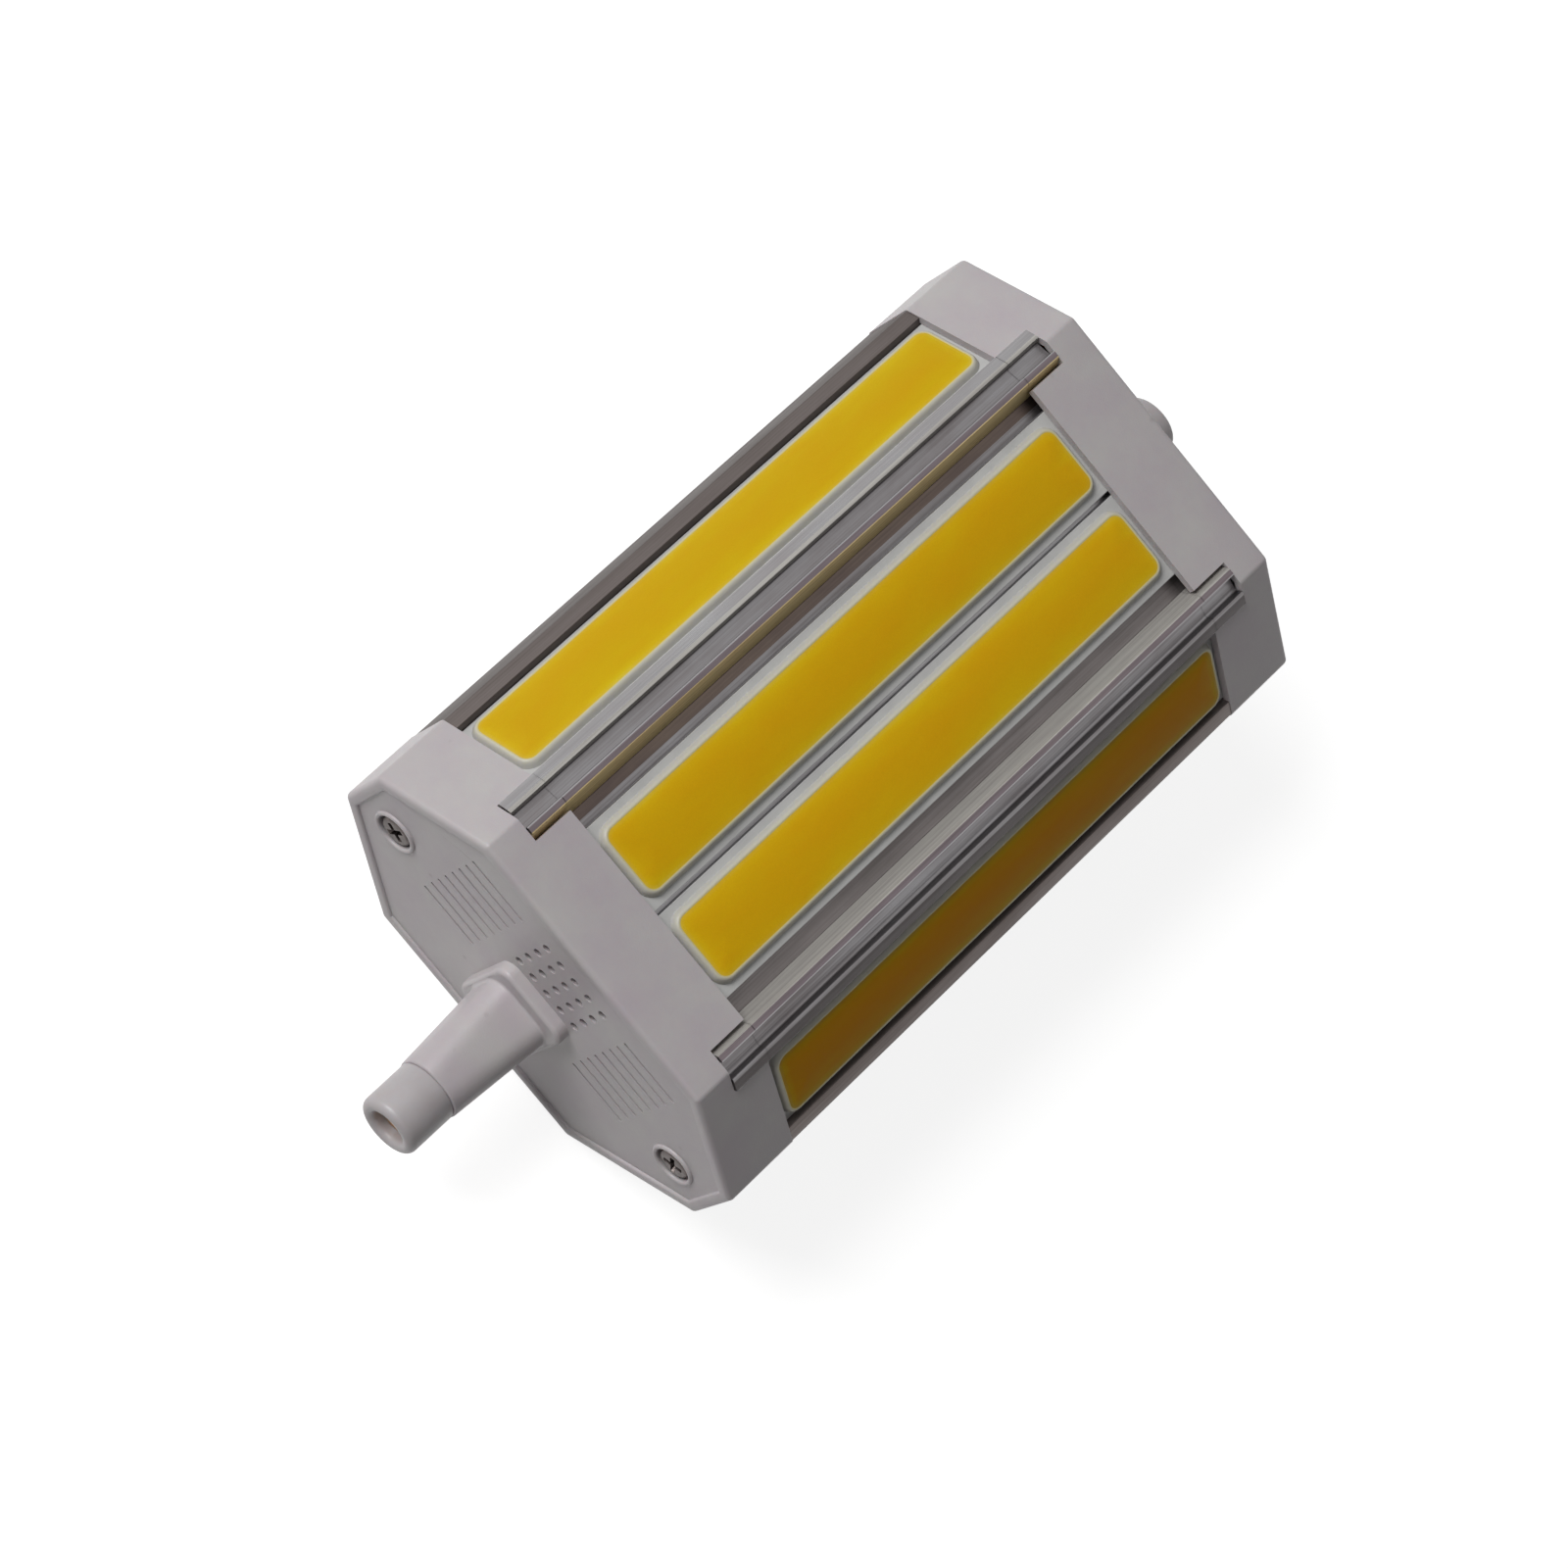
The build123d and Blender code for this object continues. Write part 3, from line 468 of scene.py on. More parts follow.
capPlastic = mouldedPlastic(
    "capPlastic",
    {
        "colour": tone(194, 190, 189),
        "cloudColour": tone(188, 179, 184),
        "cloudSize": 6.0,
        "waveDepth": 0.05,
        "grainSize": 0.16,
        "grainDepth": 0.018,
        "speckSpacing": 5.5,
        "speckStrength": 0.3,
        "speckColour": tone(140, 132, 128),
        "roughness": 0.42,
        "specular": 0.46,
        "softness": 0.06,
    },
)
tipCeramic = mouldedPlastic(
    "tipCeramic",
    {
        "colour": tone(190, 186, 188),
        "cloudColour": tone(182, 175, 176),
        "cloudSize": 4.0,
        "waveDepth": 0.03,
        "grainSize": 0.1,
        "grainDepth": 0.008,
        "speckSpacing": 4.0,
        "speckStrength": 0.2,
        "speckColour": tone(168, 150, 142),
        "roughness": 0.38,
        "specular": 0.5,
        "softness": 0.1,
    },
)
aluminiumLook = {
    "colour": tone(166, 166, 167),
    "stainColour": tone(146, 142, 143),
    "stainSize": 6.0,
    "lineColour": tone(112, 108, 110),
    "lineWidth": 0.2,
    "lineLength": 120.0,
    "lineDepth": 0.012,
    "poreSize": 0.12,
    "roughness": 0.3,
    "metallic": 1.0,
}
aluminium = extrudedMetal("extrudedAluminium", aluminiumLook)
# the same metal painted by place and by the side that faces the lamp: shaded copies, lit copies and a
# painted reflection of the yellow phosphor, each with its colour, stains, roughness and metallic share
paintedMetalShades = {
    # groove: a darker grey, painted shade in the grooves and on the middle of the bed on the side facing the
    # lamp
    "groove": (tone(138, 137, 139), tone(118, 114, 115), 0.36, 1.0),
    # crest: a darker purple-grey copy on the top of the inner lip
    "crest": (tone(124, 114, 118), tone(108, 99, 104), 0.38, 1.0),
    # painted shade with a painted brown reflection of the phosphor, on the bed by the rail on the side
    # facing the lamp
    "shadeAndReflectionBed": (tone(100, 88, 80), tone(82, 72, 70), 0.36, 1.0),
    # painted yellow reflection of the phosphor on the rail's inner flank where it faces away from the lamp
    "reflectedYellowFlank": (tone(206, 188, 138), tone(186, 164, 120), 0.5, 0.7),
    # painted shade on the beds of the side turned away from the lamp
    "shadedGreyBed": (tone(120, 114, 113), tone(104, 99, 98), 0.4, 0.7),
    # painted light on the flanks and the groove wall that face the lamp
    "litFlank": (tone(190, 188, 182), tone(168, 164, 160), 0.42, 0.3),
    # painted shade on the outer lip of the side turned away from the lamp
    "shadedLip": (tone(84, 77, 78), tone(68, 62, 62), 0.5, 0.3),
    # skin: painted dark reflection on the ledges beside the slant strips
    "skin": (tone(112, 105, 103), tone(98, 91, 89), 0.42, 1.0),
    # side: painted shade on the upright sides and everything below them
    "side": (tone(98, 92, 90), tone(86, 80, 78), 0.66, 0.15),
}
# the die lines of the painted copies are drawn darker
shadeLook = {"stainSize": 4.0, "lineColour": tone(76, 68, 64), "lineWidth": 0.24, "lineLength": 150.0}
shadeNames = ["bright"] + list(paintedMetalShades)
shadedMetals = []
for shadeName, shade in paintedMetalShades.items():
    own = dict(zip(("colour", "stainColour", "roughness", "metallic"), shade))
    shadedMetals.append(extrudedMetal(shadeName + "Metal", {**aluminiumLook, **shadeLook, **own}))
boardCoreLook = {
    "colour": tone(186, 186, 188),
    "stainColour": tone(168, 166, 166),
    "stainSize": 5.0,
    "lineColour": tone(138, 136, 138),
    "lineWidth": 0.1,
    "lineLength": 40.0,
    "lineDepth": 0.01,
    "poreSize": 0.1,
    "roughness": 0.42,
}
boardCore = extrudedMetal("boardCore", {**aluminiumLook, **boardCoreLook})
boardMask = plainFinish(
    "whiteMask",
    {
        "colour": tone(199, 199, 197),
        "secondColour": tone(183, 183, 182),
        "driftSize": 5.0,
        "grainSize": 0.15,
        "grainDepth": 0.01,
        "roughness": 0.34,
        "coat": 0.15,
    },
)
# the dam is stained by the phosphor on its inner side
damSilicone = siliconeFinish(
    "damSilicone",
    {
        "rimColour": tone(222, 198, 92),
        "edgeColour": tone(216, 204, 142),
        "colour": tone(207, 203, 184),
        "middleColour": tone(190, 189, 184),
        "patchSize": 2.4,
        "patchStrength": 0.3,
        "patchColour": tone(196, 190, 176),
        "grainSize": 0.2,
        "grainColour": tone(198, 192, 176),
        "roughness": 0.4,
        "specular": 0.4,
    },
)
phosphorLook = {
    "rimColour": tone(234, 204, 66),
    "edgeColour": tone(234, 198, 14),
    "colour": tone(230, 188, 6),
    "middleColour": tone(227, 180, 3),
    "patchSize": 3.2,
    "patchStrength": 0.55,
    "patchColour": tone(230, 166, 0),
    "grainSize": 0.14,
    "grainColour": tone(200, 152, 0),
    "roughness": 0.42,
    "specular": 0.18,
}
# the outer strips are painted for how the lamp falls on them: the left, facing it, a little darker and
# greener, the right, turned away, a riper orange with less gloss as painted shade
phosphorPaintedLight = {
    "top": {},
    "left": {
        "rimColour": tone(226, 202, 70),
        "edgeColour": tone(224, 196, 12),
        "colour": tone(218, 184, 2),
        "middleColour": tone(216, 176, 0),
        "patchColour": tone(218, 162, 0),
    },
    "right": {
        "rimColour": tone(206, 180, 90),
        "edgeColour": tone(220, 182, 24),
        "colour": tone(220, 160, 4),
        "middleColour": tone(218, 148, 0),
        "patchColour": tone(216, 136, 0),
        "specular": 0.06,
    },
}
phosphors = {}
for place, tones in phosphorPaintedLight.items():
    phosphors[place] = siliconeFinish("phosphor_" + place, {**phosphorLook, **tones})
brass = plainFinish(
    "contactBrass",
    {
        "colour": tone(196, 160, 118),
        "secondColour": tone(168, 128, 96),
        "driftSize": 1.2,
        "grainSize": 0.08,
        "grainDepth": 0.01,
        "roughness": 0.32,
        "metallic": 1.0,
    },
)
# the screws are toned darker than bare zinc, as painted shade of the deep pockets they sit in
zinc = plainFinish(
    "zincScrew",
    {
        "colour": tone(104, 96, 94),
        "secondColour": tone(66, 60, 58),
        "driftSize": 0.9,
        "grainSize": 0.07,
        "grainDepth": 0.012,
        "roughness": 0.36,
        "metallic": 1.0,
    },
)
print("main materials made")


# End caps: skirt and rim as a shell, a vented plate, screw rings, plinth and tapered stem
capForm = {
    "wall": 0.9,
    "cornerRadius": 0.8,
    "leastRadius": 0.25,
    "cornerSteps": 5,
    "faceRadius": 0.6,
    "rimWidth": 1.5,
    "rimHeight": 0.3,
    "rimEdge": 0.3,
    "rimSink": 0.3,
    "plateBack": 41.6,
    "plateInset": 1.0,
    "plateRadius": 0.4,
    "notchTop": 13.2,
    "notchSlant": 2.75,
    "notchReach": 39.5,
    "ribPlace": 8.0,
    "ribWidth": 1.6,
    "ribTop": 4.1,
    "overlap": 0.2,
    "ribEdge": 0.15,
    "softEdge": 0.12,
}


def capLoop(end, inset, reach):
    # one loop round the cap, with points at the sides of both rail notches
    radius = max(capForm["cornerRadius"] - inset, capForm["leastRadius"])
    outline = roundedOutline(evenOctagon(inset), radius, capForm["cornerSteps"])
    corner = capForm["cornerSteps"] + 1
    slantY, slantZ = onSlant(capForm["notchSlant"], -inset)
    topY, topZ = capForm["notchTop"], octagon["height"] - inset
    outline = (
        [(topY, topZ)] + outline[:corner] + [(slantY, slantZ)] + outline[corner:-corner]
        + [(-slantY, slantZ)] + outline[-corner:] + [(-topY, topZ)]
    )
    return [(stationX(end, reach), y, z) for y, z in outline]


def capShell(name, end):
    face = octagon["bodyReach"]
    outer, edge = capForm["faceRadius"], capForm["rimEdge"]
    stations = [(0, octagon["skirtReach"]), (0, capForm["notchReach"])]
    stations += arcPoints((outer, face - outer), outer, 180, 90, 5)
    stations += arcPoints((capForm["rimWidth"] - edge, face - edge), edge, 90, 0, 3)
    stations.append((capForm["rimWidth"], face - capForm["rimHeight"] - capForm["rimSink"]))
    loops = [capLoop(end, inset, reach) for inset, reach in stations]
    columns = len(loops[0])
    notch = capForm["cornerSteps"] + 2
    faces = []
    for r in range(len(loops) - 1):
        for c in range(columns):
            if r == 0 and (c < notch or columns - 1 - notch <= c < columns - 1):
                continue  # the notches stay open
            ahead = (c + 1) % columns
            below = (r + 1) * columns
            faces.append((r * columns + c, r * columns + ahead, below + ahead, below + c))
    shell = meshObject(name, [point for loop in loops for point in loop], faces)
    # the open shell is turned so that its normals face out of the lamp
    if max(shell.data.polygons, key=lambda face: face.center.y).normal.y < 0:
        shell.data.flip_normals()
    wall = shell.modifiers.new("wall", "SOLIDIFY")
    wall.thickness = capForm["wall"] * mm
    wall.offset = -1
    wall.use_even_offset = True
    return softenEdges(shell, capForm["softEdge"])


ventForm = {
    "Slots": 8,
    "Slot pitch": 1.9,
    "Slot length": 7.6,
    "Slot width": 0.38,
    "Slot spread": 23.0,
    "Slot height": 19.7,
    "Columns": 5,
    "Rows": 4,
    "Pitch across": 2.1,
    "Pitch up": 2.4,
    "Hole radius": 0.52,
    "Field height": 23.0,
}


def ventTree():
    # plate from an outline with two fields of slots and one field of round holes
    sizes = {label: "Int" if isinstance(value, int) else "Float" for label, value in ventForm.items()}
    sizes.update({"Thickness": "Float", "Start": "Float", "Material": "Material"})
    tree, given = geometryTree("ventedPlate", sizes)

    def span(count, pitch):
        return calculate(tree, "MULTIPLY", calculate(tree, "SUBTRACT", count, 1), pitch)

    def field(across, up, width, length, height, shape):
        size = {"Size X": width, "Size Y": length, "Vertices X": across, "Vertices Y": up}
        grid = addNode(tree, "GeometryNodeMeshGrid", size).outputs[0]
        place = addNode(tree, "ShaderNodeCombineXYZ", {"Y": height}).outputs[0]
        moved = addNode(tree, "GeometryNodeTransform", {"Geometry": grid, "Translation": place}).outputs[0]
        copies = addNode(tree, "GeometryNodeInstanceOnPoints", {"Points": moved, "Instance": shape})
        return addNode(tree, "GeometryNodeRealizeInstances", {"Geometry": copies.outputs[0]}).outputs[0]

    slotSize = {"Width": given["Slot length"], "Height": given["Slot width"]}
    slot = addNode(tree, "GeometryNodeCurvePrimitiveQuadrilateral", slotSize).outputs[0]
    almostHalf = calculate(tree, "MULTIPLY", given["Slot width"], 0.49)  # round ends that don't quite meet
    rounding = {"Curve": slot, "Radius": almostHalf, "Count": 4, "Limit Radius": True}
    slot = addNode(tree, "GeometryNodeFilletCurve", rounding, mode="POLY").outputs[0]
    slotSpan = span(given["Slots"], given["Slot pitch"])
    slots = field(2, given["Slots"], given["Slot spread"], slotSpan, given["Slot height"], slot)
    holeSize = {"Resolution": 16, "Radius": given["Hole radius"]}
    hole = addNode(tree, "GeometryNodeCurvePrimitiveCircle", holeSize, mode="RADIUS").outputs[0]
    acrossSpan = span(given["Columns"], given["Pitch across"])
    upSpan = span(given["Rows"], given["Pitch up"])
    holes = field(given["Columns"], given["Rows"], acrossSpan, upSpan, given["Field height"], hole)
    outline = addNode(tree, "GeometryNodeMeshToCurve", {"Mesh": given["Geometry"]}).outputs[0]
    curves = addNode(tree, "GeometryNodeJoinGeometry", {"Geometry": [outline, slots, holes]})
    endSlab(tree, given, curves.outputs[0], given["Thickness"])
    return tree


screwForm = {
    "spread": 42.9,
    "height": 16.2,
    "ringRadius": 2.65,
    "ringHeight": 0.3,
    "ringEdge": 0.27,
    "ringGap": 0.05,
    "plateHole": 2.35,
    "pocketRadius": 2.1,
    "pocketDepth": 1.3,
    "holeRadius": 1.6,
    "headRadius": 1.95,
    "headHeight": 1.1,
    "headEdge": 0.55,
    "shankRadius": 1.4,
    "coreRadius": 1.1,
    "length": 9.5,
    "neck": 0.5,
    "point": 0.6,
    "plainLength": 1.5,
    "threadPitch": 0.95,
    "recessArm": 2.5,
    "recessWidth": 0.62,
    "recessDepth": 0.85,
    "recessCorner": 0.1,
    "recessTaper": 0.7,
    "turns": (0.2, 1.3),  # least and most turn of a head, in radians
}
faceReach = octagon["bodyReach"] - capForm["rimHeight"]
screwPlaces = [(side * screwForm["spread"] / 2, screwForm["height"]) for side in (-1, 1)]
ventPlate = ventTree()


def capPlate(name, end):
    outline = roundedOutline(evenOctagon(capForm["plateInset"]), capForm["plateRadius"], 3)
    holes = [circlePoints(place, screwForm["plateHole"], 32) for place in screwPlaces]
    plate = outlineObject(name, [outline] + holes)
    thickness = faceReach - capForm["plateBack"]
    start = min(stationX(end, faceReach), stationX(end, capForm["plateBack"]))
    values = {key: value if isinstance(value, int) else value * mm for key, value in ventForm.items()}
    values.update({"Thickness": thickness * mm, "Start": start * mm, "Material": capPlastic})
    tidyMesh(runTree(plate, ventPlate, values), 30)
    return softenEdges(plate, capForm["softEdge"])


def screwRing(name, end, place):
    form = screwForm
    top = faceReach + form["ringHeight"]
    back = octagon["heatsinkReach"] + form["ringGap"]
    edge = form["ringEdge"]
    floor = top - form["pocketDepth"]
    profile = [(back, form["ringRadius"])]
    profile += arcPoints((top - edge, form["ringRadius"] - edge), edge, 90, 0, 4)
    profile += arcPoints((top - edge, form["pocketRadius"] + edge), edge, 0, -90, 4)
    profile += [(floor, form["pocketRadius"]), (floor, form["holeRadius"]), (back, form["holeRadius"])]
    return lathe(name, fromEnd(end, profile), place, 40)


pinForm = {
    "height": 11.9,
    "plinthWidth": 9.8,
    "plinthHeight": 12.2,
    "plinthRadius": 1.8,
    "plinthReach": 1.2,
    "plinthEdge": 0.5,
    "plinthShrink": 0.8,  # how fast the corner radius shrinks with the inset
    "sink": 0.6,
    "rootWidth": 8.3,
    "rootRadius": 2.3,
    "rootFillet": 0.3,
    "endWidth": 7.2,
    "endRadius": 3.1,
    "endEdge": 0.22,
    "endShrink": 0.6,
    "boreRadius": 2.5,
    "reach": {"front": 12.8, "rear": 5.2},
    "cornerSteps": 7,
}


def capStem(name, end, stemReach):
    form = pinForm
    loops = []

    def addLoop(reach, width, height, radius):
        outline = roundedBox(width, height, radius, form["cornerSteps"])
        loops.append([(stationX(end, reach), y, form["height"] + z) for y, z in outline])

    # plinth with a rounded edge
    back = faceReach - form["sink"]
    top = octagon["bodyReach"] + form["plinthReach"]
    width, height, corner, edge = (form["plinth" + key] for key in ("Width", "Height", "Radius", "Edge"))
    addLoop(back, width, height, corner)
    for inset, reach in arcPoints((edge, top - edge), edge, 180, 90, 5):
        addLoop(reach, width - 2 * inset, height - 2 * inset, corner - inset * form["plinthShrink"])
    # fillet, then a taper from a rounded square to nearly a circle
    fillet, root, rootCorner = form["rootFillet"], form["rootWidth"], form["rootRadius"]
    for outset, reach in arcPoints((fillet, top + fillet), fillet, 270, 180, 3):
        addLoop(reach, root + 2 * outset, root + 2 * outset, rootCorner + outset)
    stemEnd = octagon["bodyReach"] + stemReach
    tip, tipCorner, tipEdge = form["endWidth"], form["endRadius"], form["endEdge"]
    for share in (0.25, 0.5, 0.75):
        width = root + (tip - root) * share
        reach = top + fillet + (stemEnd - tipEdge - top - fillet) * share
        addLoop(reach, width, width, rootCorner + (tipCorner - rootCorner) * share)
    for inset, reach in arcPoints((tipEdge, stemEnd - tipEdge), tipEdge, 180, 90, 4):
        addLoop(reach, tip - 2 * inset, tip - 2 * inset, tipCorner - inset * form["endShrink"])
    # the bore runs back through the plinth and the plate, its points turned to match the corners
    turns = [atan2(z, y) for y, z in roundedBox(1, 1, 0.3, form["cornerSteps"])]
    bore = form["boreRadius"]
    for reach in (stemEnd, back):
        loops.append([(stationX(end, reach), bore * cos(t), form["height"] + bore * sin(t)) for t in turns])
    return loftLoops(name, loops, True, 40)


def endCap(endName, end):
    form = capForm
    parts = [capShell("shell", end), capPlate("plate", end), capStem("stem", end, pinForm["reach"][endName])]
    parts += [screwRing("ring", end, place) for place in screwPlaces]
    reaches = (octagon["heatsinkReach"], form["plateBack"] + form["overlap"])
    near, far = sorted(stationX(end, reach) for reach in reaches)
    for side in (-1, 1):
        left = side * form["ribPlace"] - form["ribWidth"] / 2
        low = (near, left, form["wall"] - form["overlap"])
        rib = boxPart("rib", low, (far, left + form["ribWidth"], form["ribTop"]))
        parts.append(softenEdges(rib, form["ribEdge"]))
    fit(joinParts(f"endCap_{endName}", parts), capPlastic, "cap", f"end_cap_{endName}")


for endName, end in ends.items():
    endCap(endName, end)
print("end caps made")


# Contact tips: round insulators with a recess, and the contact stud at its bottom
tipForm = {
    "length": 6.0,
    "radius": 3.5,
    "endRadius": 0.8,
    "shoulderEdge": 0.15,
    "recessRadius": 1.95,
    "recessEdge": 0.7,
    "recessDepth": 1.9,
    "recessFoot": [(0.3, 1.89), (0, 1.65)],  # reach over the recess's floor, radius
    "spigotRadius": 2.45,
    "spigotLength": 3.6,
    "holeRadius": 0.9,
    "segments": 56,
}
studForm = {
    "shankRadius": 0.85,
    "shankEdge": 0.15,
    "tail": 1.2,
    # domed head with a small centre dimple: reach over the recess's floor, radius
    "head": [(0, 1.7), (0.4, 1.7), (0.6, 1.55), (0.7, 1.2), (0.7, 0.55), (0.58, 0.35), (0.54, pole)],
    "segments": 32,
}


def contactTip(endName, end):
    form = tipForm
    place = (0, pinForm["height"])
    base = octagon["bodyReach"] + pinForm["reach"][endName]
    top = base + form["length"]
    back = base - form["spigotLength"]
    floor = top - form["recessDepth"]
    shoulder, lip, turn = form["shoulderEdge"], form["recessEdge"], form["endRadius"]
    profile = [(back, form["spigotRadius"]), (base, form["spigotRadius"])]
    profile += arcPoints((base + shoulder, form["radius"] - shoulder), shoulder, 180, 90, 3)
    profile += arcPoints((top - turn, form["radius"] - turn), turn, 90, 0, 8)
    profile += arcPoints((top - lip, form["recessRadius"] + lip), lip, 0, -90, 4)
    profile += [(floor + rise, radius) for rise, radius in form["recessFoot"]]
    profile += [(floor, form["holeRadius"]), (back, form["holeRadius"])]
    tip = lathe(f"contactTip_{endName}", fromEnd(end, profile), place, form["segments"])
    fit(tip, tipCeramic, "tip", f"contact_tip_{endName}")

    tail = back - studForm["tail"]
    shank, edge = studForm["shankRadius"], studForm["shankEdge"]
    profile = [(tail, pole), (tail, shank - edge), (tail + edge, shank), (floor, shank)]
    profile += [(floor + rise, radius) for rise, radius in studForm["head"]]
    stud = lathe(f"contactStud_{endName}", fromEnd(end, profile), place, studForm["segments"], False)
    fit(stud, brass, "contact", f"contact_stud_{endName}")


for endName, end in ends.items():
    contactTip(endName, end)
print("contact tips made")


# Cap screws: one cross-head screw, copied to its four places
def screwShape():
    # the screw points out of the front end, with its seat at X = 0
    form = screwForm
    edge, head, length, pitch = form["headEdge"], form["headHeight"], form["length"], form["threadPitch"]
    wide, shank, core = form["headRadius"], form["shankRadius"], form["coreRadius"]
    profile = [(head, pole)] + arcPoints((head - edge, wide - edge), edge, 0, 90, 5)
    profile += [(0, wide - 0.05), (0, shank)]
    for k in range(int((length - form["plainLength"]) / pitch)):
        start = -form["neck"] - k * pitch
        profile += [(start, core), (start - 0.25 * pitch, core), (start - 0.5 * pitch, shank)]
        profile += [(start - 0.6 * pitch, shank), (start - 0.85 * pitch, core)]
    profile += [(form["point"] - length, core), (-length, core / 2), (-length, pole)]
    screw = lathe("screwShape", [(-reach, radius) for reach, radius in profile], (0, 0), 36, False, 40)
    arm, slot = form["recessArm"], form["recessWidth"]
    for width, height in ((arm, slot), (slot, arm)):
        outline = roundedBox(width, height, form["recessCorner"], 2)
        top = [(-head - 0.2, y, z) for y, z in outline]
        taper = form["recessTaper"]
        low = [(form["recessDepth"] - head, y * taper, z * taper) for y, z in outline]
        cutter = loftLoops("cutter", [top, low], False)
        cut = screw.modifiers.new("recess", "BOOLEAN")
        cut.operation = "DIFFERENCE"
        cut.object = cutter
        cut.solver = "EXACT"
        settle(screw)
        bpy.data.objects.remove(cutter)
    return tidyMesh(screw, 40)


def screwTree():
    sizes = {"Screw": "Object", "Middle": "Float", "Least turn": "Float", "Most turn": "Float"}
    tree, given = geometryTree("capScrews", {**sizes, "Seed": "Int", "Material": "Material"})
    shape = addNode(tree, "GeometryNodeObjectInfo", {"Object": given["Screw"]}).outputs["Geometry"]
    where = addNode(tree, "GeometryNodeInputPosition").outputs[0]
    along = addNode(tree, "ShaderNodeSeparateXYZ", {"Vector": where}).outputs[0]
    half = calculate(tree, "MULTIPLY", calculate(tree, "GREATER_THAN", along, given["Middle"]), pi)
    # sockets 2 and 3 are the limits, output 1 the value
    limits = {2: given["Least turn"], 3: given["Most turn"], "Seed": given["Seed"]}
    turn = addNode(tree, "FunctionNodeRandomValue", limits, data_type="FLOAT").outputs[1]
    angles = addNode(tree, "ShaderNodeCombineXYZ", {"X": turn, "Z": half}).outputs[0]
    inputs = {"Points": given["Geometry"], "Instance": shape, "Rotation": angles}
    endTree(tree, addNode(tree, "GeometryNodeInstanceOnPoints", inputs).outputs[0], given["Material"])
    return tree


screw = screwShape()
seat = faceReach + screwForm["ringHeight"] - screwForm["pocketDepth"]
places = [Vector((stationX(end, seat), y, z)) * mm for end in ends.values() for y, z in screwPlaces]
screws = rawObject("capScrews", places)
leastTurn, mostTurn = screwForm["turns"]
values = {"Screw": screw, "Middle": octagon["middleX"] * mm, "Least turn": leastTurn, "Most turn": mostTurn}
runTree(screws, screwTree(), {**values, "Seed": 4, "Material": zinc})
bpy.data.objects.remove(screw)
tidyMesh(screws, 40)
fit(screws, zinc, "screw", *[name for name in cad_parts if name.startswith("cap_screw")])
print("cap screws made")


# Heatsink: the extrusion's section is filled and drawn along X; its ends are turned down under the caps
heatsinkForm = {
    "skin": 0.12,
    "seat": 1.0,
    "seatOverlap": 0.1,
    "bed": 2.15,
    "roof": 3.75,
    "wall": 1.9,
    "floor": 4.1,
    "channelDepth": 2.7,
    "channelWidth": 1.6,
    "channelPitch": 3.0,
    "bottomChannels": 9,
    "slantChannels": 5,
    "railFoot": 12.7,
    "railCrest": 14.0,
    "railLip": 0.9,
    "railProud": 0.3,
    "railOuter": 2.65,
    "grooveWidth": 2.0,
    "grooveDepth": 1.1,
    "grooveCorner": 0.35,
    "ledgeStart": 12.95,
    "edge": 0.16,
    "softEdge": 0.07,
    # places across the section where the painted light and shade of the metal change
    "bedMiddle": 5.0,
    "bedLine": 11.6,
    "lipLine": 0.3,  # share of the outer lip's top
    "lipShade": 17.2,
    "grooveSide": 16.45,
    "shadeMargin": 0.1,
}
# screw port: a ring on a web, open towards the inside
portForm = {
    "radius": 3.0,
    "bore": 1.45,
    "outerMouth": 12.03,  # half the opening, in degrees
    "innerMouth": 24.64,
    "edge": 0.05,
    "webHeight": 2.0,
    "webReach": 2.7,
    "webSink": 0.2,
}


def channelPoints(start, along, inward, length, count, depth):
    # a straight run of the section with its cooling channels, from start in the direction along
    points = []
    for k in range(count):
        centre = length / 2 + (k - (count - 1) / 2) * heatsinkForm["channelPitch"]
        for offset, share in ((-1, 0), (-1, 1), (1, 1), (1, 0)):
            here = Vector(start) + Vector(along) * (centre + offset * heatsinkForm["channelWidth"] / 2)
            points.append(tuple(here + Vector(inward) * share * depth))
    return points


def heatsinkSection(skin):
    form = heatsinkForm
    height = octagon["height"]
    body = evenOctagon(skin)
    # half of the section from the middle of the bed, with points where the painted light and shade change
    points = [(y, height - form["bed"]) for y in (form["bedMiddle"], form["bedLine"], form["railFoot"])]
    down = Vector((-sin(upperAngle / 2), -cos(upperAngle / 2)))
    across = Vector((cos(upperAngle / 2), -sin(upperAngle / 2)))
    left = Vector((form["railCrest"] + form["railLip"], height + form["railProud"]))
    right = left + across * form["grooveWidth"]
    inner, outer = left + down * form["grooveDepth"], right + down * form["grooveDepth"]
    lipEnd = Vector(onSlant(form["railOuter"], form["railProud"]))
    points += [(form["railCrest"], height + form["railProud"]), tuple(left)]
    points += roundedCorner(left, inner, outer, form["grooveCorner"], 4)
    points += roundedCorner(inner, outer, right, form["grooveCorner"], 4)
    points += [tuple(right), tuple(right.lerp(lipEnd, form["lipLine"])), tuple(lipEnd)]
    points += [onSlant(form["railOuter"], -form["bed"]), onSlant(form["ledgeStart"], -form["bed"])]
    points += [onSlant(form["ledgeStart"], -skin), body[1], body[2]]
    slant = Vector(body[3]) - Vector(body[2])
    downSlant = slant.normalized()
    inward = (downSlant.y, -downSlant.x)
    depth = form["channelDepth"] - skin
    points += channelPoints(body[2], downSlant, inward, slant.length, form["slantChannels"], depth)
    points += [body[3]]
    mirrored = [(-y, z) for y, z in reversed(points)]
    bottom = channelPoints(body[3], (-1, 0), (0, 1), 2 * body[3][0], form["bottomChannels"], depth)
    return points + bottom + mirrored


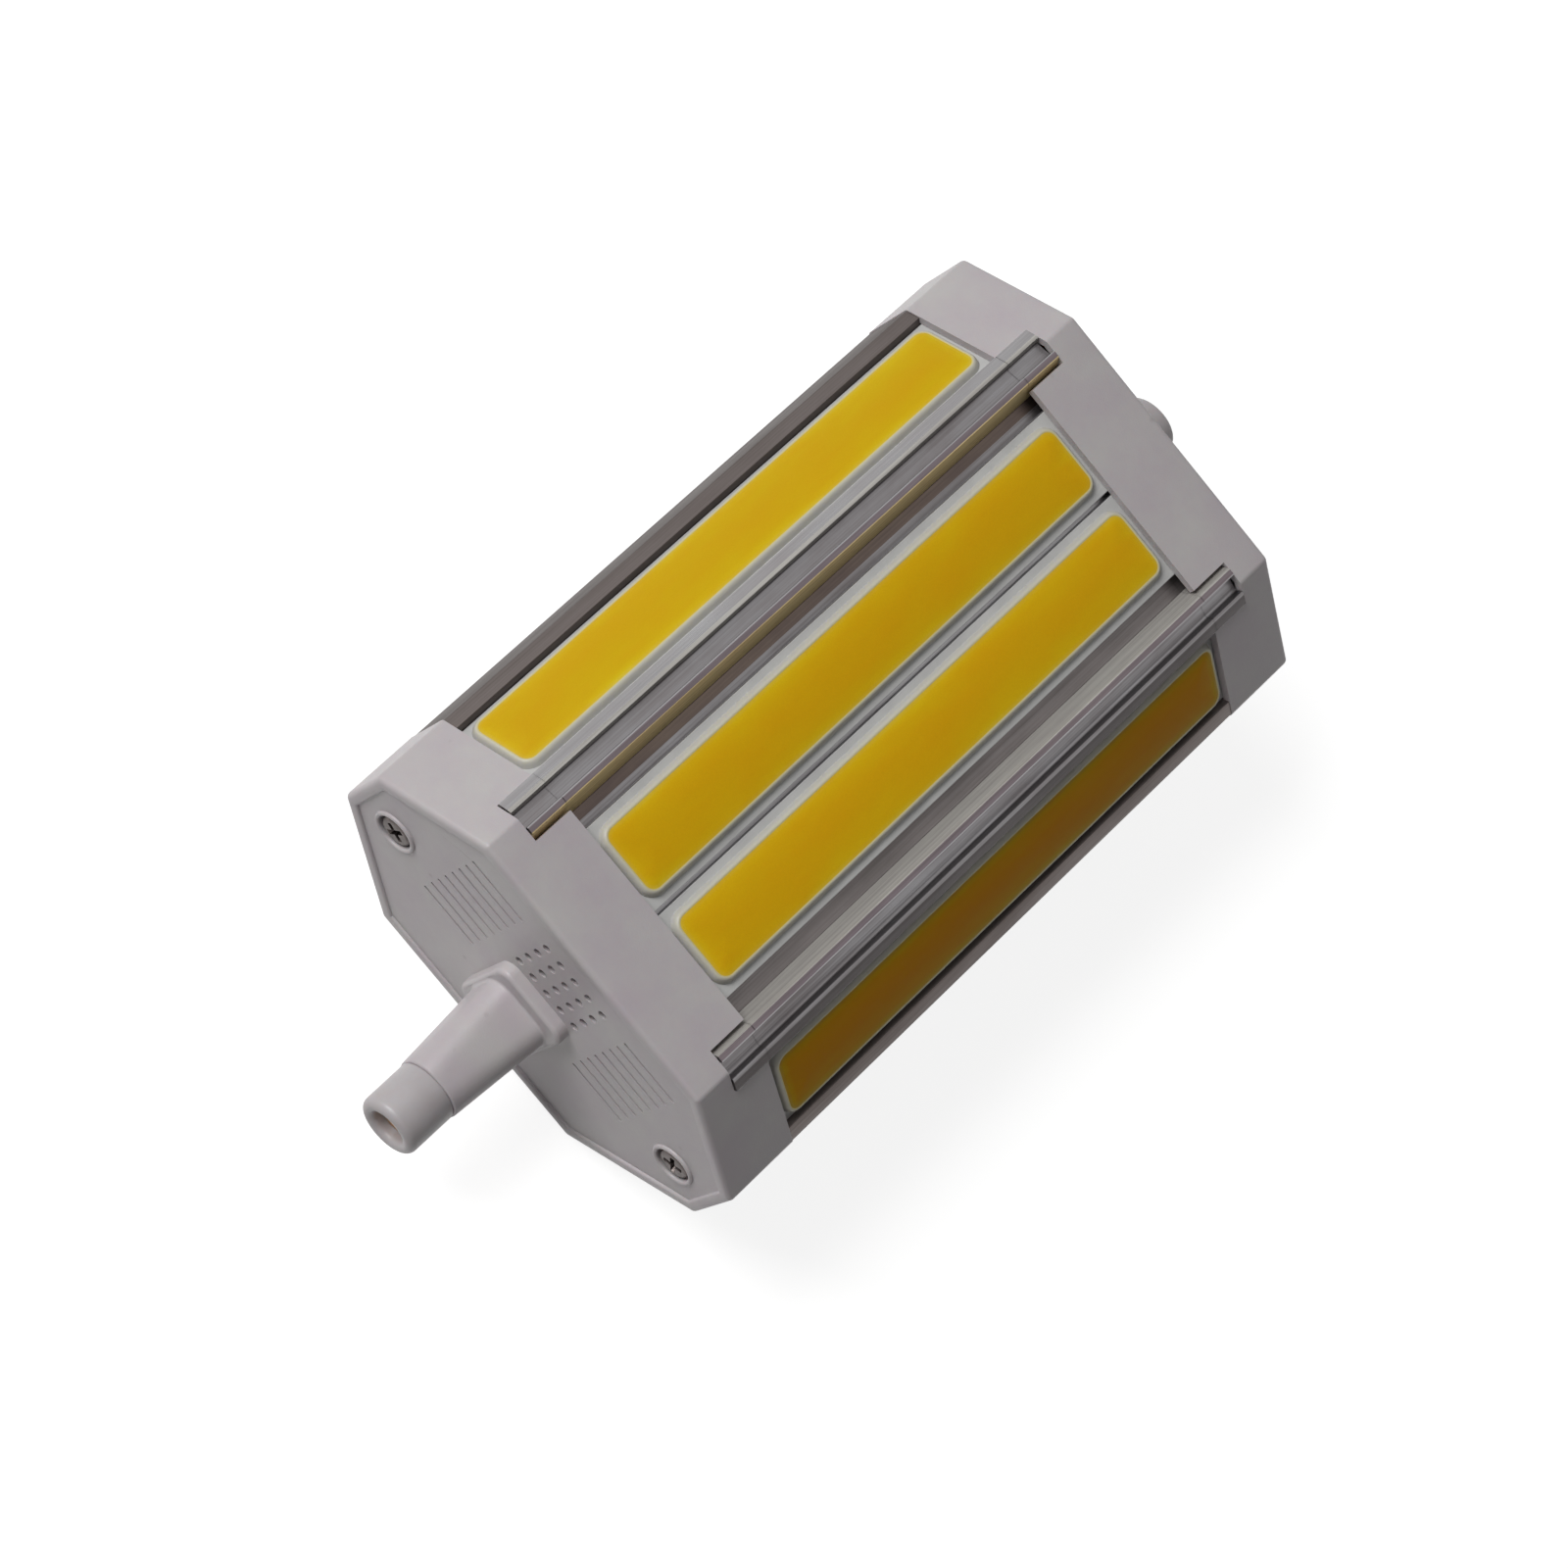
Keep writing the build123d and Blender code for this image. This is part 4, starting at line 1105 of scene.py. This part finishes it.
def portSection(side):
    place = (side * screwForm["spread"] / 2, screwForm["height"])
    start = 180 if side > 0 else 0
    end = start + 360
    outer, inner = portForm["outerMouth"], portForm["innerMouth"]
    ring = arcPoints(place, portForm["radius"], start + outer, end - outer, 36)
    return ring + arcPoints(place, portForm["bore"], end - inner, start + inner, 28)


def sectionTree():
    sizes = {"Edge": "Float", "Length": "Float", "Start": "Float", "Material": "Material"}
    tree, given = geometryTree("drawnSection", sizes)
    outline = addNode(tree, "GeometryNodeMeshToCurve", {"Mesh": given["Geometry"]}).outputs[0]
    rounding = {"Curve": outline, "Count": 2, "Radius": given["Edge"], "Limit Radius": True}
    rounded = addNode(tree, "GeometryNodeFilletCurve", rounding, mode="POLY").outputs[0]
    endSlab(tree, given, rounded, given["Length"])
    return tree


drawnSection = sectionTree()


def drawPart(name, loops, low, high, edge):
    # draws a section of loops from X = low to X = high
    part = outlineObject(name, loops)
    values = {"Edge": edge * mm, "Length": (high - low) * mm, "Start": low * mm, "Material": aluminium}
    return tidyMesh(runTree(part, drawnSection, values), 28)


def shadeAt(centre):
    # which copy of the metal, with its painted light and shade, a face of the section takes, by the place of
    # its middle and by its side: the +Y side faces the lamp
    form = heatsinkForm
    margin = form["shadeMargin"]
    y, z = abs(centre.y) / mm, centre.z / mm
    along = (y - octagon["topWidth"] / 2) * cos(upperAngle) + (octagon["height"] - z) * sin(upperAngle)
    lit = centre.y > 0
    if y > octagon["width"] / 2 - form["skin"] - margin / 2 or z < octagon["lowerRise"]:
        return "side"
    if along > form["ledgeStart"] - margin:
        return "skin"
    if along > form["railOuter"] - margin or y < form["bedMiddle"]:
        return "bright"
    if y > form["lipShade"]:
        return "bright" if lit else "shadedLip"
    if y > form["railCrest"] + margin:
        if z > octagon["height"] + form["railProud"] - 2 * margin:
            return "bright" if y > form["railCrest"] + form["railLip"] - 2 * margin else "crest"
        return "litFlank" if lit and y > form["grooveSide"] else "groove"
    if z < octagon["height"] - form["bed"] + margin:
        if y < form["bedLine"]:
            return "groove" if lit else "shadedGreyBed"
        return "shadeAndReflectionBed" if lit else "shadedGreyBed"
    return "reflectedYellowFlank" if lit else "litFlank"


def heatsink():
    form = heatsinkForm
    cavity = octagonCorners(form["roof"], form["roof"], form["wall"], form["floor"], form["floor"])
    middle = [heatsinkSection(form["skin"]), cavity]
    seat = [heatsinkSection(form["seat"]), cavity]
    low, high = (stationX(end, octagon["skirtReach"]) for end in (-1, 1))
    farLow, farHigh = (stationX(end, octagon["heatsinkReach"]) for end in (-1, 1))
    overlap = form["seatOverlap"]
    parts = [
        drawPart("drawnMiddle", middle, low, high, form["edge"]),
        drawPart("seatFront", seat, farLow, low + overlap, form["edge"]),
        drawPart("seatRear", seat, high - overlap, farHigh, form["edge"]),
    ]
    for part in parts:
        softenEdges(part, form["softEdge"], 1, 50)
    bottom = screwForm["height"] - portForm["webHeight"] / 2
    for side in (-1, 1):
        parts.append(drawPart("port", [portSection(side)], farLow, farHigh, portForm["edge"]))
        reach = octagon["width"] / 2 - form["wall"] + portForm["webSink"]
        inner = screwForm["spread"] / 2 + portForm["webReach"]
        near, far = sorted((side * inner, side * reach))
        parts.append(boxPart("web", (farLow, near, bottom), (farHigh, far, bottom + portForm["webHeight"])))
    body = fit(joinParts("heatsinkBody", parts), aluminium, "heatsink", "heatsink")
    # the painted light and shade copies of the metal, one for each face by its place and side
    for material in shadedMetals:
        body.data.materials.append(material)
    for face in body.data.polygons:
        face.material_index = shadeNames.index(shadeAt(face.center))


heatsink()
print("heatsink made")


# LED strips: coated board, silicone dam and domed phosphor fill on each of the four beds
stripForm = {
    "boardWidth": 10.5,
    "boardLength": 78.0,
    "boardThickness": 1.0,
    "boardLevel": 0.15,
    "boardEdge": 0.08,
    "split": 0.5,  # gap between the two boards on top
    "slantCentre": 8.0,
    "outerTrim": 0.4,
    "notchWidth": 1.4,
    "notchLength": 1.3,
    "fillWidth": 7.4,
    "fillLength": 67.0,
    "fillRadius": 1.1,
    "leastRadius": 0.12,
    "radiusShrink": 0.4,
    "cornerSteps": 6,
    # distance out of or into the fill's outline, and level over the board
    "damProfile": [(0, 0), (0, 0.76), (0.12, 0.79), (0.26, 0.77), (0.44, 0.62), (0.6, 0.36), (0.74, 0)],
    "fillProfile": [(0, 0.76), (0.3, 0.8), (0.8, 0.86), (1.5, 0.92), (2.4, 0.97), (3.4, 0.99)],
}


def bedFrame(bedName):
    # origin on the bed, direction across it and direction out of it
    form = stripForm
    side = 1 if bedName.endswith("left") else -1
    if bedName.startswith("top"):
        place = side * (form["split"] + form["boardWidth"]) / 2, octagon["height"] - heatsinkForm["bed"]
        across, out = (0, 1, 0), (0, 0, 1)
    else:
        y, z = onSlant(form["slantCentre"], -heatsinkForm["bed"])
        place = side * y, z
        across = (0, cos(upperAngle), -side * sin(upperAngle))
        out = (0, side * sin(upperAngle), cos(upperAngle))
    return Vector((octagon["middleX"], *place)), Vector(across), Vector(out)


def ledStrip(bedName):
    form = stripForm
    origin, across, out = bedFrame(bedName)
    length, width, radius = form["fillLength"], form["fillWidth"], form["fillRadius"]

    def place(u, v, w):
        return tuple(origin + Vector((u, 0, 0)) + across * v + out * w)

    def fillLoop(grow, corner, level):
        outline = roundedBox(length + 2 * grow, width + 2 * grow, corner, form["cornerSteps"])
        return [place(u, v, top + level) for u, v in outline]

    def markEdges(obj, share):
        # each point's gap to the fill's rounded outline, as a share from 0 to 1
        edge = obj.data.attributes.new("edgeDistance", "FLOAT", "POINT")
        for vertex in obj.data.vertices:
            local = Vector(vertex.co) / mm - origin
            u = abs(local.x) - length / 2 + radius
            v = abs(local.dot(across)) - width / 2 + radius
            gap = radius - Vector((max(u, 0), max(v, 0))).length - min(max(u, v), 0)
            edge.data[vertex.index].value = min(max(share(gap), 0), 1)

    base = form["boardLevel"]
    top = base + form["boardThickness"]
    far, half = form["boardLength"] / 2, form["boardWidth"] / 2
    notch, arm = far - form["notchLength"], form["notchWidth"] / 2
    left = half - (form["outerTrim"] if bedName == "left" else 0)
    right = -half + (form["outerTrim"] if bedName == "right" else 0)
    outline = [
        (far, left), (-far, left), (-far, arm), (-notch, arm), (-notch, -arm), (-far, -arm),
        (-far, right), (far, right), (far, -arm), (notch, -arm), (notch, arm), (far, arm),
    ]
    loops = [[place(u, v, w) for u, v in outline] for w in (base, top)]
    board = settle(softenEdges(loftLoops(f"ledBoard_{bedName}", loops, False), form["boardEdge"]))
    fit(board, boardCore, "board", f"led_board_{bedName}")
    board.data.materials.append(boardMask)
    for face in board.data.polygons:
        if face.normal.dot(out) > 0.9:
            face.material_index = 1

    # dam: a soft bead with a steep inner side and a foot that runs out over the board
    loops = [fillLoop(grow, radius + grow, level) for grow, level in form["damProfile"]]
    dam = loftLoops(f"dam_{bedName}_bead", loops, True, 60)
    markEdges(dam, lambda gap: -gap / form["damProfile"][-1][0])
    fit(dam, damSilicone, "dam", f"dam_{bedName}")

    # fill: domed from the dam's inner edge
    loops = [fillLoop(0, radius, 0)]
    for inset, level in form["fillProfile"]:
        corner = max(radius - inset * form["radiusShrink"], form["leastRadius"])
        loops.append(fillLoop(-inset, corner, level))
    fill = loftLoops(f"phosphor_{bedName}_fill", loops, False, 50)
    markEdges(fill, lambda gap: gap / (width / 2))
    fit(fill, phosphors[bedName.split("_")[0]], "phosphor", f"phosphor_{bedName}")


for bedName in ("left", "top_left", "top_right", "right"):
    ledStrip(bedName)
print("LED strips made")


# Inner pieces keep their frame shapes and get their own finishes: colour, second colour, size of its
# drift, size and depth of the grain, roughness and coat
innerLooks = {
    "thermal_tape": (tone(158, 160, 166), tone(140, 142, 150), 2.0, 0.3, 0.02, 0.75, 0),
    "insulating_sleeve": (tone(220, 219, 212), tone(206, 205, 196), 9.0, 0.6, 0.02, 0.36, 0),
    "circuit_board": (tone(34, 96, 52), tone(26, 82, 44), 3.0, 0.35, 0.03, 0.4, 0.3),
    "transformer_core": (tone(62, 62, 66), tone(46, 46, 50), 2.0, 0.15, 0.03, 0.7, 0),
    "transformer_bobbin": (tone(34, 34, 36), tone(26, 26, 28), 3.0, 0.2, 0.02, 0.5, 0),
    "transformer_winding": (tone(214, 178, 50), tone(196, 156, 36), 2.0, 0.25, 0.04, 0.34, 0),
    "input_capacitor": (tone(34, 40, 54), tone(28, 33, 46), 4.0, 0.3, 0.01, 0.3, 0.4),
    "output_capacitor": (tone(36, 42, 58), tone(29, 34, 48), 4.0, 0.3, 0.01, 0.3, 0.4),
    "film_capacitor": (tone(150, 52, 36), tone(132, 42, 30), 3.0, 0.5, 0.03, 0.28, 0.5),
    "bridge_rectifier": (tone(30, 30, 32), tone(24, 24, 26), 1.5, 0.1, 0.02, 0.6, 0),
    "controller_chip": (tone(30, 30, 32), tone(24, 24, 26), 1.5, 0.1, 0.02, 0.6, 0),
    "fuse_resistor": (tone(116, 146, 130), tone(98, 128, 114), 1.5, 0.2, 0.02, 0.4, 0),
    "drum_choke": (tone(56, 54, 56), tone(42, 40, 42), 1.5, 0.2, 0.03, 0.6, 0),
    "contact_lead": (tone(176, 34, 30), tone(156, 26, 24), 2.5, 0.25, 0.01, 0.45, 0),
    "strip_": (tone(218, 216, 206), tone(204, 200, 188), 2.5, 0.25, 0.01, 0.45, 0),
}
windingStretch = (1, 1, 0.4)  # its wrapped tape shows as bands
lookKeys = ("colour", "secondColour", "driftSize", "grainSize", "grainDepth", "roughness", "coat")
for prefix, look in innerLooks.items():
    look = dict(zip(lookKeys, look))
    if prefix == "transformer_winding":
        look["stretch"] = windingStretch
    material = plainFinish("finish_" + prefix.strip("_"), look)
    for nodeName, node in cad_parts.items():
        if nodeName.startswith(prefix):
            node.data.materials.clear()
            node.data.materials.append(material)
print("inner finishes made")


# Studio: pale floor, one large soft lamp, a weak sky, and a background that shows white
studio = {
    "floorSize": 4.0,  # metres, like the floor's level and the lamp's distance and size
    "floorLevel": -0.00005,
    "floorColour": tone(188, 188, 187),
    "floorShow": 0.85,
    "skyForDiffuse": 0.1,
    "lampDirection": (-0.27, 0.69, 0.655),
    "lampDistance": 1.3,
    "lampSize": 0.7,
    "lampLevel": 0.78,
    "cameraPlace": (-243.9, 67.5, 511.3),  # millimetres
    "cameraRight": (0.6608, -0.6302, 0.4076),
    "cameraUp": (0.6133, 0.7665, 0.1909),
    "cameraBack": (-0.4327, 0.1239, 0.893),
    "sensorWidth": 36,
    "focalShare": 5597 / 1600,  # focal length over the picture's width
}
white = (1, 1, 1, 1)


def seenRays(tree):
    # 1 for rays that show the background: from the camera, from gloss and through glass
    path = addNode(tree, "ShaderNodeLightPath").outputs
    direct = calculate(tree, "MAXIMUM", path["Is Camera Ray"], path["Is Glossy Ray"])
    return calculate(tree, "MAXIMUM", direct, path["Is Transmission Ray"])


def makeFloor():
    half, level = studio["floorSize"] / 2, studio["floorLevel"]
    corners = [(-half, -half, level), (half, -half, level), (half, half, level), (-half, half, level)]
    floor = rawObject("floor", corners, faces=[(0, 1, 2, 3)])
    material, tree = newMaterial("floorPaper")
    paper = addNode(tree, "ShaderNodeBsdfDiffuse", {"Color": studio["floorColour"]})
    shown = calculate(tree, "MULTIPLY", seenRays(tree), studio["floorShow"])
    show = addNode(tree, "ShaderNodeEmission", {"Color": white, "Strength": shown})
    both = addNode(tree, "ShaderNodeAddShader", {0: paper.outputs[0], 1: show.outputs[0]})
    addNode(tree, "ShaderNodeOutputMaterial", {"Surface": both.outputs[0]})
    floor.data.materials.append(material)


def makeWorld():
    world = bpy.data.worlds.new("studioWorld")
    bpy.context.scene.world = world
    tree = bareTree(world)
    sky = addNode(tree, "ShaderNodeBackground", {"Color": white, "Strength": studio["skyForDiffuse"]})
    shown = addNode(tree, "ShaderNodeBackground", {"Color": white, "Strength": 1.0})
    mixed = addNode(tree, "ShaderNodeMixShader", {0: seenRays(tree), 1: sky.outputs[0], 2: shown.outputs[0]})
    addNode(tree, "ShaderNodeOutputWorld", {"Surface": mixed.outputs[0]})


def makeLamp():
    data = bpy.data.lights.new("softLamp", "AREA")
    data.shape = "SQUARE"
    data.size = studio["lampSize"]
    # a white face turned to the lamp shows the lamp level
    data.energy = studio["lampLevel"] * (pi * studio["lampDistance"]) ** 2
    lamp = linkObject("softLamp", data)
    direction = Vector(studio["lampDirection"]).normalized()
    aim = Vector((octagon["middleX"], 0, octagon["height"] / 2)) * mm
    lamp.location = aim + direction * studio["lampDistance"]
    lamp.rotation_euler = direction.to_track_quat("Z", "Y").to_euler()


def makeCamera():
    data = bpy.data.cameras.new("photoView")
    data.sensor_width = studio["sensorWidth"]
    data.sensor_fit = "HORIZONTAL"
    data.lens = studio["sensorWidth"] * studio["focalShare"]
    data.clip_start = 0.01
    camera = linkObject("photoView", data)
    axes = [Vector(studio[key]).normalized() for key in ("cameraRight", "cameraUp", "cameraBack")]
    turn = Matrix(axes).transposed().to_4x4()
    camera.matrix_world = Matrix.Translation(Vector(studio["cameraPlace"]) * mm) @ turn
    bpy.context.scene.camera = camera


makeFloor()
makeWorld()
makeLamp()
makeCamera()
bpy.context.scene.view_settings.view_transform = "Standard"
print("studio made")
